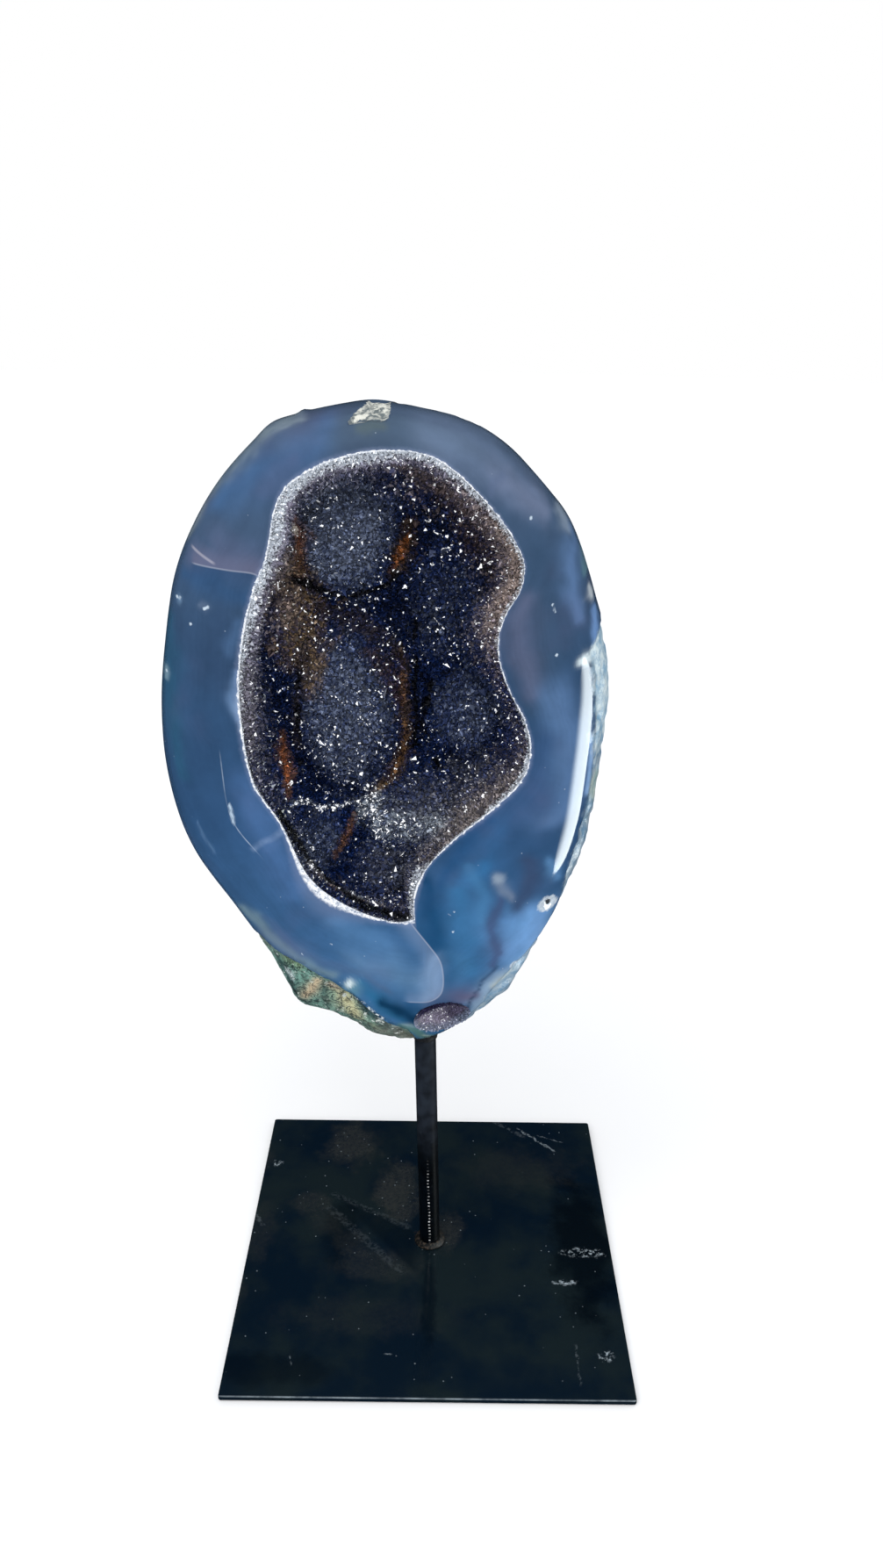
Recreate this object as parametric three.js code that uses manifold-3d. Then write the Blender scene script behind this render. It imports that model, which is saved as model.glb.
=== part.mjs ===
// A polished chalcedony geode with a druse-lined hollow, glued on a steel post welded to a square plate.
// Millimetres, +Z up, +X to the viewer's right, the viewer looks along +Y.
// The origin is the middle of the plate's underside.
import * as THREE from 'three';
import { mergeVertices } from 'three/addons/utils/BufferGeometryUtils.js';
import Module from 'manifold-3d';

const wasm = await Module();
wasm.setup();

// Stand
const PLATE_SIDE = 127;
const PLATE_THICK = 1.6;
const PLATE_CORNER = 0.8;
const POST_DIAMETER = 7;
const POST_CHAMFER = 0.5;
const LEAN = THREE.MathUtils.degToRad(1.6);
const WELD_WIDTH = 1.8;
const WELD_HEIGHT = 1.3;
const GAP = 0.3;
const ROUND_SIDES = 24;
const RING_SIDES = 16;

// Stone, in the leaning frame whose origin is the post's foot on the plate
const STONE = new THREE.Vector3(-12.5, -3, 194);
const FACE_BULGE = 22;
const FACE_POWER = 8;
const BACK_BULGE = 41;
const BACK_POWER = 2.3;
const BACK_MIDDLE = [3, -6];
const AROUND = 66;

// Hollow
const TOWARDS_VIEWER = new THREE.Vector3(0, -1, 0);
const HOLLOW_DEPTH = 31;
const FLOOR_POWER = 3.2;
const GROWTH_BLEND = 4;
const RIM_SPAN = 0.012;
const WALL_SHARE = 0.3;
const CRUST_THICK = 1.8;
const CRYSTAL_WIDTH = 5.3;
const CRYSTAL_ROWS = 14;
const CRYSTAL_HEIGHT = 2;
const CRYSTAL_TILT = 0.6;
const CRUST_START = 0.012;
const LEAST_CRYSTALS = 5;
const LINE_JITTER = 0.24;
const LINES_MEET = 0.27;
const LENGTH_SAMPLES = 64;
const ROW_SEED = 97;

// Socket and glue under the stone
const SEAT_Z = -102.5;
const SEAT_RADIUS = 6.6;
const SOCKET_DEPTH = 22;
const CUT_BELOW = 12;
const CUT_ABOVE = 9;
const COLLAR_HEIGHT = 4.6;
const COLLAR_FLARE = 2.3;

// Pocket near the foot of the face
const POCKET = {
  middle: [18.5, -87],
  across: 17.5,
  along: 15,
  deep: 6.5,
  rows: 3,
  crystalWidth: 2.7,
  crystalHeight: 1,
  crustThick: 0.8,
};
const POCKET_AROUND = 18;
const POCKET_RINGS = 4;

// The middle that both outlines are seen from, and the outlines as x and z about the stone's origin
const MIDDLE = [0, 15];
const OUTLINE = [
  [4.2, 88.5], [24.1, 84.3], [33.8, 79.9], [43.9, 71], [54.6, 57.2], [61.6, 38.2], [66.3, 20], [66.1, 3],
  [64.7, -13.2], [63.5, -24.7], [60, -40.3], [52.3, -59], [45.2, -74.5], [41.2, -82.6], [28.4, -95],
  [18.6, -101], [12, -103], [3, -102.5], [-4.6, -100.3], [-14, -93], [-27.7, -87.6], [-32.2, -74.3],
  [-42.1, -55.9], [-54.7, -32.9], [-59.2, -11.1], [-58.9, 9.7], [-55.5, 30], [-50.3, 49.1], [-39.5, 67.6],
  [-27, 80.5], [-20.6, 85.3], [-18.1, 85.4], [-9.2, 87.3],
];
const RIM_TIP = [10.9, -50.2];
const RIM = [
  [6.8, 78], [15.1, 77.3], [21.5, 74.5], [32.1, 64.7], [39.5, 53.9], [41, 47], [38.5, 41.6], [35.3, 36],
  [34.3, 28], [36.8, 18.7], [41.4, 9], [43, 0.9], [41.2, -7], [33.5, -15.6], [21.4, -26.1], [14, -35],
  [10.8, -43], RIM_TIP, [6.2, -51.1], [-7.1, -46.1], [-17.8, -37], [-25.2, -19.3], [-31.3, -8.3], [-33.4, 8],
  [-32.8, 24], [-27.9, 43.7], [-23.4, 53.6], [-21.7, 61.5], [-19.4, 68], [-11.3, 74.1], [0.6, 77.6],
];

// Rounded growths on the hollow's floor: x, z, half width, half height, depth of the top, rise
const GROWTHS = [
  [-4, 53, 16, 16, 13, 9],
  [26, 43, 18, 19, 19, 7],
  [-6, 10, 16, 25, 11, 10],
  [27, 3, 13, 14, 16, 9],
  [13.5, -25, 15, 15, 10, 9],
  [-16, -30, 12, 12, 12, 9],
  [0, -43, 10, 9, 11, 7],
  [-25, 31, 10, 15, 12, 7],
  [13, 70, 13, 10, 14, 7],
  [19, 21, 11, 11, 22, 7],
];

// Undercut behind the rim at the lower left
const UNDERCUT = { angle: THREE.MathUtils.degToRad(254), spread: 0.42, reach: 3.2, depth: 9 };

function paint(colour, roughness, metalness = 0) {
  return new THREE.MeshStandardMaterial({ color: colour, roughness, metalness });
}

function piece(name, geometry, material) {
  const mesh = new THREE.Mesh(geometry, material);
  mesh.name = name;
  return mesh;
}

function scatter(a, b) {
  const v = Math.sin(a * 12.9898 + b * 78.233) * 43758.5453;
  return v - Math.floor(v);
}

function reachFrom(points) {
  const about = points.map(([x, z]) => new THREE.Vector3(x - MIDDLE[0], z - MIDDLE[1], 0));
  const curve = new THREE.CatmullRomCurve3(about, true, 'centripetal');
  const turn = 2 * Math.PI;
  const dense = curve.getPoints(points.length * 12).slice(0, -1).map((p) => ({
    angle: (Math.atan2(p.y, p.x) + turn) % turn,
    reach: p.length(),
  }));
  dense.sort((a, b) => a.angle - b.angle);
  const first = { angle: dense[0].angle + turn, reach: dense[0].reach };
  const last = dense[dense.length - 1];
  const ring = [{ angle: last.angle - turn, reach: last.reach }, ...dense, first];
  return (angle) => {
    const a = ((angle % turn) + turn) % turn;
    const k = ring.findIndex((s) => s.angle > a);
    const t = (a - ring[k - 1].angle) / (ring[k].angle - ring[k - 1].angle);
    return THREE.MathUtils.lerp(ring[k - 1].reach, ring[k].reach, t);
  };
}

const outerReach = reachFrom(OUTLINE);
const rimReach = reachFrom(RIM);

// Angles from the rim's lower tip round, which share the samples evenly along both outlines
function angleSpacing(steps = 1440) {
  const start = Math.atan2(RIM_TIP[1] - MIDDLE[1], RIM_TIP[0] - MIDDLE[0]);
  const at = (reach, k) => {
    const angle = start + (k / steps) * 2 * Math.PI;
    return new THREE.Vector2(Math.cos(angle), Math.sin(angle)).multiplyScalar(reach(angle));
  };
  const lengths = [outerReach, rimReach].map((reach) => {
    const parts = [];
    for (let k = 0; k < steps; k += 1) parts.push(at(reach, k).distanceTo(at(reach, k + 1)));
    const total = parts.reduce((sum, v) => sum + v, 0);
    return parts.map((v) => v / total);
  });
  const passed = [0];
  for (let k = 0; k < steps; k += 1) passed.push(passed[k] + (lengths[0][k] + lengths[1][k]) / 2);
  return (share) => {
    const s = ((share % 1) + 1) % 1;
    const k = Math.max(1, passed.findIndex((v) => v > s));
    const t = (s - passed[k - 1]) / (passed[k] - passed[k - 1]);
    return start + ((k - 1 + t) / steps) * 2 * Math.PI;
  };
}

const angleAt = angleSpacing();

function faceDepth(u) {
  return -FACE_BULGE * Math.sqrt(Math.max(0, 1 - u ** FACE_POWER));
}

function radial(angle, reach, y, middle = MIDDLE) {
  return new THREE.Vector3(middle[0] + reach * Math.cos(angle), y, middle[1] + reach * Math.sin(angle));
}

// Polished front: 0 at the rim, 1 at the widest outline
function facePoint(share, out) {
  const angle = angleAt(share);
  const inner = rimReach(angle) / outerReach(angle);
  const u = THREE.MathUtils.lerp(inner, 1, out);
  return radial(angle, outerReach(angle) * u, faceDepth(u));
}

function knobs(p) {
  return Math.sin(p.x / 7.1 + Math.sin(p.z / 9.3)) * Math.cos(p.z / 8.3 + p.y / 11)
    + 0.6 * Math.sin(p.x / 3.9 - p.z / 4.7 + p.y / 5.3)
    + 0.8 * Math.cos(p.z / 15 + p.x / 21);
}

// Natural back: 0 at the widest outline, 1 at the middle of the back
function backPoint(share, turn) {
  const angle = angleAt(share);
  const phi = (turn * Math.PI) / 2;
  const u = Math.cos(phi) ** (2 / BACK_POWER);
  const y = BACK_BULGE * Math.sin(phi) ** (2 / BACK_POWER);
  const middle = MIDDLE.map((v, i) => THREE.MathUtils.lerp(BACK_MIDDLE[i], v, u));
  const p = radial(angle, outerReach(angle) * u, y, middle);
  const out = radial(angle, u, y / BACK_BULGE, [0, 0]).normalize();
  return p.addScaledVector(out, 1.3 * knobs(p) * Math.min(1, turn * 4));
}

function smoothLeast(a, b) {
  const h = THREE.MathUtils.clamp(0.5 + (0.5 * (b - a)) / GROWTH_BLEND, 0, 1);
  return THREE.MathUtils.lerp(b, a, h) - GROWTH_BLEND * h * (1 - h);
}

function growthDepth(x, z, [cx, cz, rx, rz, top, rise]) {
  const q = Math.hypot((x - cx) / rx, (z - cz) / rz);
  return top + rise * (q < 1 ? q * q : 2 * q - 1);
}

// Hollow's wall and floor: 0 at the rim, 1 at the middle of the floor
function hollowPoint(share, turn) {
  const angle = angleAt(share);
  const u = Math.cos((turn * Math.PI) / 2);
  const base = HOLLOW_DEPTH * Math.sqrt(Math.max(0, 1 - u ** FLOOR_POWER));
  const rim = faceDepth(rimReach(angle) / outerReach(angle));
  const aside = Math.atan2(Math.sin(angle - UNDERCUT.angle), Math.cos(angle - UNDERCUT.angle));
  const back = Math.sin(Math.PI * Math.min(1, base / (2 * UNDERCUT.depth)));
  const under = UNDERCUT.reach * back * Math.exp(-((aside / UNDERCUT.spread) ** 2));
  const reach = rimReach(angle) * u + under;
  const p = radial(angle, reach, 0);
  const depth = GROWTHS.map((g) => growthDepth(p.x, p.z, g)).reduce(smoothLeast, base);
  p.y = THREE.MathUtils.lerp(rim, -FACE_BULGE, 1 - u) + Math.max(depth, Math.min(base, 1.5));
  return p;
}

// A point lifted off the wall: sideways off the rim's steep wall, and along the way out off the floor
function lifted(point, wayOut, share, turn, lift) {
  const along = point(share + RIM_SPAN, 0).sub(point(share - RIM_SPAN, 0));
  const inward = new THREE.Vector3().crossVectors(wayOut, along).normalize();
  const sideways = Math.max(0, 1 - turn / WALL_SHARE);
  const way = wayOut.clone().multiplyScalar(1 - sideways).addScaledVector(inward, sideways).normalize();
  return point(share, turn).addScaledVector(way, lift);
}

function ringOf(count, make) {
  return Array.from({ length: count }, (_, i) => make(i / count));
}

// Collects points and faces, and turns the faces outward
class Shell {
  constructor() {
    this.points = [];
    this.faces = [];
  }

  add(p) {
    this.points.push(p);
    return this.points.length - 1;
  }

  addRing(ring) {
    return ring.map((p) => this.add(p));
  }

  face(a, b, c) {
    if (a !== b && b !== c && c !== a) this.faces.push([a, b, c]);
  }

  band(outer, inner) {
    outer.forEach((_, i) => {
      const j = (i + 1) % outer.length;
      this.face(outer[i], outer[j], inner[j]);
      this.face(outer[i], inner[j], inner[i]);
    });
  }

  fan(ring, apex) {
    ring.forEach((_, i) => this.face(ring[i], ring[(i + 1) % ring.length], apex));
  }

  volume() {
    return this.faces.reduce((sum, [a, b, c]) => {
      const [p, q, r] = [this.points[a], this.points[b], this.points[c]];
      return sum + p.dot(new THREE.Vector3().crossVectors(q, r)) / 6;
    }, 0);
  }

  geometry() {
    if (this.volume() < 0) this.faces = this.faces.map(([a, b, c]) => [a, c, b]);
    const geometry = new THREE.BufferGeometry();
    const numbers = this.points.flatMap((p) => [p.x, p.y, p.z]);
    geometry.setAttribute('position', new THREE.Float32BufferAttribute(numbers, 3));
    geometry.setIndex(this.faces.flat());
    geometry.computeVertexNormals();
    return geometry;
  }
}

function asSolid(geometry) {
  const bare = geometry.clone();
  bare.deleteAttribute('normal');
  bare.deleteAttribute('uv');
  const merged = mergeVertices(bare, 1e-4);
  const mesh = new wasm.Mesh({
    numProp: 3,
    vertProperties: new Float32Array(merged.attributes.position.array),
    triVerts: new Uint32Array(merged.index.array),
  });
  return new wasm.Manifold(mesh);
}

function asGeometry(solid) {
  const mesh = solid.getMesh();
  const geometry = new THREE.BufferGeometry();
  geometry.setAttribute('position', new THREE.Float32BufferAttribute(mesh.vertProperties, 3));
  geometry.setIndex(Array.from(mesh.triVerts));
  geometry.computeVertexNormals();
  return geometry;
}

// An upright lathe: the profile's pairs are radius and height
function turned(profile, sides = ROUND_SIDES) {
  const points = profile.map(([r, z]) => new THREE.Vector2(r, z));
  return new THREE.LatheGeometry(points, sides).rotateX(Math.PI / 2);
}

const HOLLOW_RINGS = 13;
const FACE_RINGS = [0, 0.07, 0.35, 0.62, 0.8, 0.91, 0.968, 0.993];
const BACK_RINGS = 9;

function stoneBody() {
  const shell = new Shell();
  const rings = [];
  for (let k = BACK_RINGS - 1; k >= 0; k -= 1) {
    rings.push(shell.addRing(ringOf(AROUND, (s) => backPoint(s, k / BACK_RINGS))));
  }
  [...FACE_RINGS].reverse().forEach((out) => {
    rings.push(shell.addRing(ringOf(AROUND, (s) => facePoint(s, out))));
  });
  for (let k = 1; k < HOLLOW_RINGS; k += 1) {
    rings.push(shell.addRing(ringOf(AROUND, (s) => hollowPoint(s, k / HOLLOW_RINGS))));
  }
  shell.fan([...rings[0]].reverse(), shell.add(backPoint(0, 1)));
  rings.slice(1).forEach((ring, k) => shell.band(rings[k], ring));
  shell.fan(rings[rings.length - 1], shell.add(hollowPoint(0, 1)));
  return shell.geometry();
}

// Joins two closed rows of points that have different counts
function stitch(shell, rowA, sharesA, rowB, sharesB) {
  let a = 0;
  let b = 0;
  while (a < rowA.length || b < rowB.length) {
    const nextA = a < rowA.length ? (sharesA[a + 1] ?? 1 + sharesA[0]) : Infinity;
    const nextB = b < rowB.length ? (sharesB[b + 1] ?? 1 + sharesB[0]) : Infinity;
    const pa = rowA[a % rowA.length];
    const pb = rowB[b % rowB.length];
    if (nextA <= nextB) {
      a += 1;
      shell.face(pa, rowA[a % rowA.length], pb);
    } else {
      b += 1;
      shell.face(pa, rowB[b % rowB.length], pb);
    }
  }
}

// Rows of crystals: the shares at which the lines between neighbouring crystals stand
function crystalLines(point, rows, width) {
  return Array.from({ length: rows }, (_, row) => {
    const around = ringOf(LENGTH_SAMPLES, (s) => point(s, (row + 0.5) / (rows + 0.5)));
    const length = around.reduce((sum, p, i) => sum + p.distanceTo(around[(i + 1) % LENGTH_SAMPLES]), 0);
    const count = Math.max(LEAST_CRYSTALS, Math.round(length / width));
    const offset = scatter(row, 3);
    const at = (i) => (i + offset + LINE_JITTER * (scatter(i, row) - 0.5)) / count;
    return Array.from({ length: count }, (__, i) => at(i));
  });
}

// The row of points between two rows of crystals, where lines that nearly meet share a point
function borderRow(shell, lines, row, make) {
  const own = [row - 1, row].filter((r) => lines[r]);
  const marks = own.flatMap((r) => lines[r].map((share, line) => ({ share: share % 1, row: r, line })));
  marks.sort((a, b) => a.share - b.share);
  const close = LINES_MEET / Math.max(...own.map((r) => lines[r].length));
  const border = { ids: [], shares: [], where: {} };
  marks.forEach((mark, i) => {
    const before = marks[i - 1];
    const joined = before && !before.joined && before.row !== mark.row && mark.share - before.share < close;
    if (!joined) {
      border.ids.push(shell.add(make(mark.share)));
      border.shares.push(mark.share);
    }
    mark.joined = joined;
    border.where[`${mark.row} ${mark.line}`] = border.ids.length - 1;
  });
  return border;
}

// The border's points from one line of a row of crystals to the next
function walk(border, row, line, count) {
  const end = border.where[`${row} ${(line + 1) % count}`];
  let k = border.where[`${row} ${line}`];
  const ids = [border.ids[k]];
  while (k !== end) {
    k = (k + 1) % border.ids.length;
    ids.push(border.ids[k]);
  }
  return ids;
}

// One crystal: a pyramid of flat faces on its ring of corners
function crystal(shell, ids, up, height, seed) {
  const corners = ids.map((id) => shell.points[id]);
  const middle = corners.reduce((sum, p) => sum.add(p), new THREE.Vector3()).divideScalar(corners.length);
  const lean = new THREE.Vector3(scatter(seed, 1) - 0.5, scatter(seed, 2) - 0.5, scatter(seed, 5) - 0.5);
  const tip = middle.addScaledVector(up, height * (0.75 + 0.5 * scatter(seed, 7)));
  shell.fan(ids, shell.add(tip.addScaledVector(lean, height * CRYSTAL_TILT)));
}

// The crust's smooth back, just off the wall
function crustBack(shell, lift, { around, rings, start }) {
  const backs = Array.from({ length: rings }, (_, k) => {
    const turn = Math.max(start, k / rings);
    return shell.addRing(ringOf(around, (s) => lift(s, turn, GAP)));
  });
  shell.fan(backs[rings - 1], shell.add(lift(0, 1, GAP)));
  backs.slice(1).forEach((ring, k) => shell.band(backs[k], ring));
  return backs[0];
}

// The crust's front of crystals
function crustFront(shell, point, lift, { rows, width, thick, height, start }) {
  const lines = crystalLines(point, rows, width);
  const upAt = (share, turn) => lift(share, turn, 1).sub(point(share, turn));
  const turnAt = (row) => Math.max(start, row / (rows + 0.5));
  const borders = Array.from({ length: rows + 1 }, (_, row) => (
    borderRow(shell, lines, row, (s) => lift(s, turnAt(row), GAP + thick))
  ));
  lines.forEach((row, r) => row.forEach((share, i) => {
    const outer = walk(borders[r], r, i, row.length);
    const inner = walk(borders[r + 1], r, i, row.length);
    const up = upAt(share + 0.5 / row.length, (turnAt(r) + turnAt(r + 1)) / 2);
    crystal(shell, [...inner, ...outer.reverse()], up, height, r * ROW_SEED + i);
  }));
  crystal(shell, [...borders[rows].ids].reverse(), upAt(0, 1), height, rows * ROW_SEED);
  return borders[0];
}

// A closed crust of crystals on a wall
function crust(point, wayOut, shape) {
  const shell = new Shell();
  const lift = (share, turn, distance) => lifted(point, wayOut, share, turn, distance);
  const back = crustBack(shell, lift, shape);
  const front = crustFront(shell, point, lift, shape);
  stitch(shell, front.ids, front.shares, back, ringOf(shape.around, (s) => s));
  return shell.geometry();
}

// Pocket: a bowl sunk in the face along the face's own normal
function pocketFrame() {
  const [x, z] = POCKET.middle;
  const surface = (px, pz) => {
    const angle = Math.atan2(pz - MIDDLE[1], px - MIDDLE[0]);
    const reach = Math.hypot(px - MIDDLE[0], pz - MIDDLE[1]);
    return new THREE.Vector3(px, faceDepth(reach / outerReach(angle)), pz);
  };
  const middle = surface(x, z);
  const right = surface(x + 1, z).sub(middle).normalize();
  const up = surface(x, z + 1).sub(middle);
  const out = new THREE.Vector3().crossVectors(right, up).normalize();
  return { middle, right, out, up: new THREE.Vector3().crossVectors(out, right) };
}

const pocketAxes = pocketFrame();

function pocketPoint(share, turn) {
  const { middle, right, up, out } = pocketAxes;
  const phi = (turn * Math.PI) / 2;
  const angle = share * 2 * Math.PI;
  return middle.clone()
    .addScaledVector(right, (POCKET.across / 2) * Math.cos(phi) * Math.cos(angle))
    .addScaledVector(up, (POCKET.along / 2) * Math.cos(phi) * Math.sin(angle))
    .addScaledVector(out, -POCKET.deep * Math.sin(phi));
}

function pocketCutter() {
  const shell = new Shell();
  const above = (p) => p.addScaledVector(pocketAxes.out, CUT_ABOVE);
  const rings = [shell.addRing(ringOf(POCKET_AROUND, (s) => above(pocketPoint(s, 0))))];
  for (let k = 0; k < POCKET_RINGS; k += 1) {
    rings.push(shell.addRing(ringOf(POCKET_AROUND, (s) => pocketPoint(s, k / POCKET_RINGS))));
  }
  rings.slice(1).forEach((ring, k) => shell.band(rings[k], ring));
  shell.fan(rings[POCKET_RINGS], shell.add(pocketPoint(0, 1)));
  shell.fan([...rings[0]].reverse(), shell.add(above(pocketAxes.middle.clone())));
  return shell.geometry();
}

function postAxisInStone() {
  return { x: -STONE.x, y: -STONE.y };
}

function geode() {
  const axis = postAxisInStone();
  const socketRadius = POST_DIAMETER / 2 + GAP;
  const top = SEAT_Z + SOCKET_DEPTH + GAP;
  const below = SEAT_Z - CUT_BELOW;
  const drilled = turned([[0, below], [socketRadius, below], [socketRadius, top], [0, top]]);
  const seat = turned([[0, below], [SEAT_RADIUS, below], [SEAT_RADIUS, SEAT_Z], [0, SEAT_Z]]);
  const cut = [drilled, seat].map((g) => asSolid(g.translate(axis.x, axis.y, 0)));
  const solid = asSolid(stoneBody()).subtract(cut[0]).subtract(cut[1]).subtract(asSolid(pocketCutter()));
  return piece('geode', asGeometry(solid), paint(0x4d6b8c, 0.12));
}

function druseCrust() {
  const crystals = crust(hollowPoint, TOWARDS_VIEWER, {
    around: AROUND,
    rings: HOLLOW_RINGS,
    rows: CRYSTAL_ROWS,
    width: CRYSTAL_WIDTH,
    height: CRYSTAL_HEIGHT,
    thick: CRUST_THICK,
    start: CRUST_START,
  });
  return piece('druse_crust', crystals, paint(0x23283a, 0.35));
}

function vugCrust() {
  const crystals = crust(pocketPoint, pocketAxes.out, {
    around: POCKET_AROUND,
    rings: POCKET_RINGS,
    rows: POCKET.rows,
    width: POCKET.crystalWidth,
    height: POCKET.crystalHeight,
    thick: POCKET.crustThick,
    start: CRUST_START,
  });
  return piece('vug_crust', crystals, paint(0x6f6580, 0.4));
}

function stone() {
  const group = new THREE.Group();
  group.position.copy(STONE);
  group.add(geode(), druseCrust(), vugCrust());
  return group;
}

function post() {
  const r = POST_DIAMETER / 2;
  const foot = GAP + 0.1;
  const top = STONE.z + SEAT_Z + SOCKET_DEPTH;
  const profile = [[0, foot], [r, foot], [r, top - POST_CHAMFER], [r - POST_CHAMFER, top], [0, top]];
  return piece('post', turned(profile), paint(0x101214, 0.2, 0.4));
}

function puttyCollar() {
  const inner = POST_DIAMETER / 2 + GAP;
  const top = STONE.z + SEAT_Z - GAP;
  const bottom = top - COLLAR_HEIGHT;
  const profile = [
    [inner, bottom], [inner + 0.5, bottom], [inner + 0.9, bottom + COLLAR_HEIGHT * 0.35],
    [inner + COLLAR_FLARE, top - 0.5], [inner + COLLAR_FLARE, top], [inner, top], [inner, bottom],
  ];
  return piece('putty_collar', turned(profile, RING_SIDES), paint(0x6f7460, 0.7));
}

function footWeld() {
  const inner = POST_DIAMETER / 2 + GAP;
  const low = 2 * GAP;
  const profile = [
    [inner, low], [inner + WELD_WIDTH, low], [inner + WELD_WIDTH * 0.7, low + WELD_HEIGHT * 0.45],
    [inner + WELD_WIDTH * 0.3, low + WELD_HEIGHT * 0.85], [inner, low + WELD_HEIGHT], [inner, low],
  ];
  return piece('foot_weld', turned(profile, RING_SIDES), paint(0x3a2c20, 0.75, 0.3));
}

function basePlate() {
  const half = PLATE_SIDE / 2;
  const flat = new THREE.Shape();
  const inset = half - PLATE_CORNER;
  flat.moveTo(-inset, -half);
  [[1, -1], [1, 1], [-1, 1], [-1, -1]].forEach(([sx, sy], i) => {
    const start = -Math.PI / 2 + (i * Math.PI) / 2;
    flat.absarc(sx * inset, sy * inset, PLATE_CORNER, start, start + Math.PI / 2);
  });
  flat.closePath();
  const steps = { depth: PLATE_THICK, bevelEnabled: false, curveSegments: 3 };
  const geometry = new THREE.ExtrudeGeometry(flat, steps);
  return piece('base_plate', geometry, paint(0x121a20, 0.25, 0.3));
}

function leaningPart() {
  const group = new THREE.Group();
  group.position.z = PLATE_THICK;
  group.rotation.y = -LEAN;
  group.add(post(), footWeld(), puttyCollar(), stone());
  return group;
}

const object = new THREE.Group();
object.add(basePlate(), leaningPart());

export default object;
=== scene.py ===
"""Dresses the chalcedony geode on its steel stand: stone skin, druse, stand, light and camera."""

import math

import bmesh
import bpy
import numpy as np
from mathutils import Matrix, Vector
from mathutils.bvhtree import BVHTree


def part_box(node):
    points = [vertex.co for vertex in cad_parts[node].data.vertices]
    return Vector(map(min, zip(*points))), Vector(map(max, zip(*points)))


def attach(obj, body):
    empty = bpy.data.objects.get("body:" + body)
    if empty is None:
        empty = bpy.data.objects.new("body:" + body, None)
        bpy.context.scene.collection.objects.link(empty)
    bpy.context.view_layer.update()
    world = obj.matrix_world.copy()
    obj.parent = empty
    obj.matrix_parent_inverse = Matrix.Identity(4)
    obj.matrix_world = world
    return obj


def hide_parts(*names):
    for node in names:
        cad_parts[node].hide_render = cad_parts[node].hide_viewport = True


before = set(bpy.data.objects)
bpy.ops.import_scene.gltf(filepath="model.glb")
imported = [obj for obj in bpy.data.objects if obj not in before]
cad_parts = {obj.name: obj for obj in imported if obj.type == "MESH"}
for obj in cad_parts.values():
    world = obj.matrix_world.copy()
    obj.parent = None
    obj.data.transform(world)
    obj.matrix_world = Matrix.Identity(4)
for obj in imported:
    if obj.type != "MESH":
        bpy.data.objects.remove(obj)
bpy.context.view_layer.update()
MM = 0.001

# Photograph: its size in pixels, its scale at the stone, and the camera's place and angles, and its focal
# length in pixels and sensor's height in mm
PHOTO_WIDE, PHOTO_HIGH = 1006, 1786
PX_PER_MM = 3.93
CAMERA_AT = Vector((0.0003, -0.3064, 0.3056))
DOWN, ROLL, TURN = (math.radians(v) for v in (22.81, 0.88, 0.25))
FOCAL = 1287.1
SENSOR = 36.0
AHEAD = Vector((math.sin(TURN) * math.cos(DOWN), math.cos(TURN) * math.cos(DOWN), -math.sin(DOWN)))
level = AHEAD.cross(Vector((0, 0, 1))).normalized()
upright = level.cross(AHEAD)
RIGHT = math.cos(ROLL) * level + math.sin(ROLL) * upright
UP = math.cos(ROLL) * upright - math.sin(ROLL) * level

# Stone's own frame, in mm: its origin in the leaning post's frame, and the middles of its outline and back
STONE = np.array([-12.5, -3.0, 194.0])
MIDDLE = np.array([0.0, 15.0])
BACK_MIDDLE = np.array([3.0, -6.0])
# Roundness of face and back, finer steps between the CAD points of stone and hollow, rows of points, and
# points along each row of the face before it is divided evenly
FACE_POWER, BACK_POWER = 8, 2.3
FINER, HOLLOW_FINER = 8, 6
FACE_ROWS = BACK_ROWS = 60
FACE_FINE = 500
# How far the skin stays inside the CAD's outline, how far its back stays short of the knobs' tops, and how
# high the knobs are, in mm
INSET = 0.12
BACK_SHORT = 3.2
KNOB_HIGH = 1.3
# Where the front's marks end on the way back, and a distance that stands for far away, in mm
FRONT_END = 4.0
FAR = 30.0


def sight(px, py):
    """Direction of the view ray through a pixel of the photograph."""
    across, along = (px - PHOTO_WIDE / 2) / FOCAL, (py - PHOTO_HIGH / 2) / FOCAL
    return (AHEAD + RIGHT * across - UP * along).normalized()


def points_of(node):
    """A CAD node's points, each once, in metres."""
    bm = bmesh.new()
    bm.from_mesh(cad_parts[node].data)
    bmesh.ops.remove_doubles(bm, verts=bm.verts, dist=1e-6)
    points = np.array([v.co[:] for v in bm.verts])
    bm.free()
    return points


plate_low, plate_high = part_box("base_plate")
post_points = points_of("post")
post_half = post_points[:, 2] < post_points[:, 2].mean()
post_low, post_high = post_points[post_half].mean(0), post_points[~post_half].mean(0)
LEAN = math.atan2(post_low[0] - post_high[0], post_high[2] - post_low[2])
TURNED = np.array(Matrix.Rotation(-LEAN, 3, "Y"))
FOOT = np.array([0, 0, plate_high.z])


def to_world(p):
    """Stone frame in mm to the row frame in metres."""
    return (np.asarray(p) + STONE) * MM @ TURNED.T + FOOT


def to_stone(p):
    """Row frame in metres to the stone frame in mm."""
    return (np.asarray(p) - FOOT) @ TURNED / MM - STONE


cad_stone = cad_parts["geode"].data
cad_faces = [p.vertices[:] for p in cad_stone.polygons]
STONE_TREE = BVHTree.FromPolygons([v.co.copy() for v in cad_stone.vertices], cad_faces)
STONE_POINTS = to_stone(points_of("geode"))


def spot(px, py, tree=STONE_TREE):
    """Where the view ray through a pixel meets the stone, or else its widest plane, in the stone frame."""
    ray = sight(px, py)
    hit = tree.ray_cast(CAMERA_AT, ray)[0]
    if hit is None:
        hit = CAMERA_AT + ray * ((STONE[1] * MM - CAMERA_AT.y) / ray.y)
    return to_stone(hit)


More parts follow.
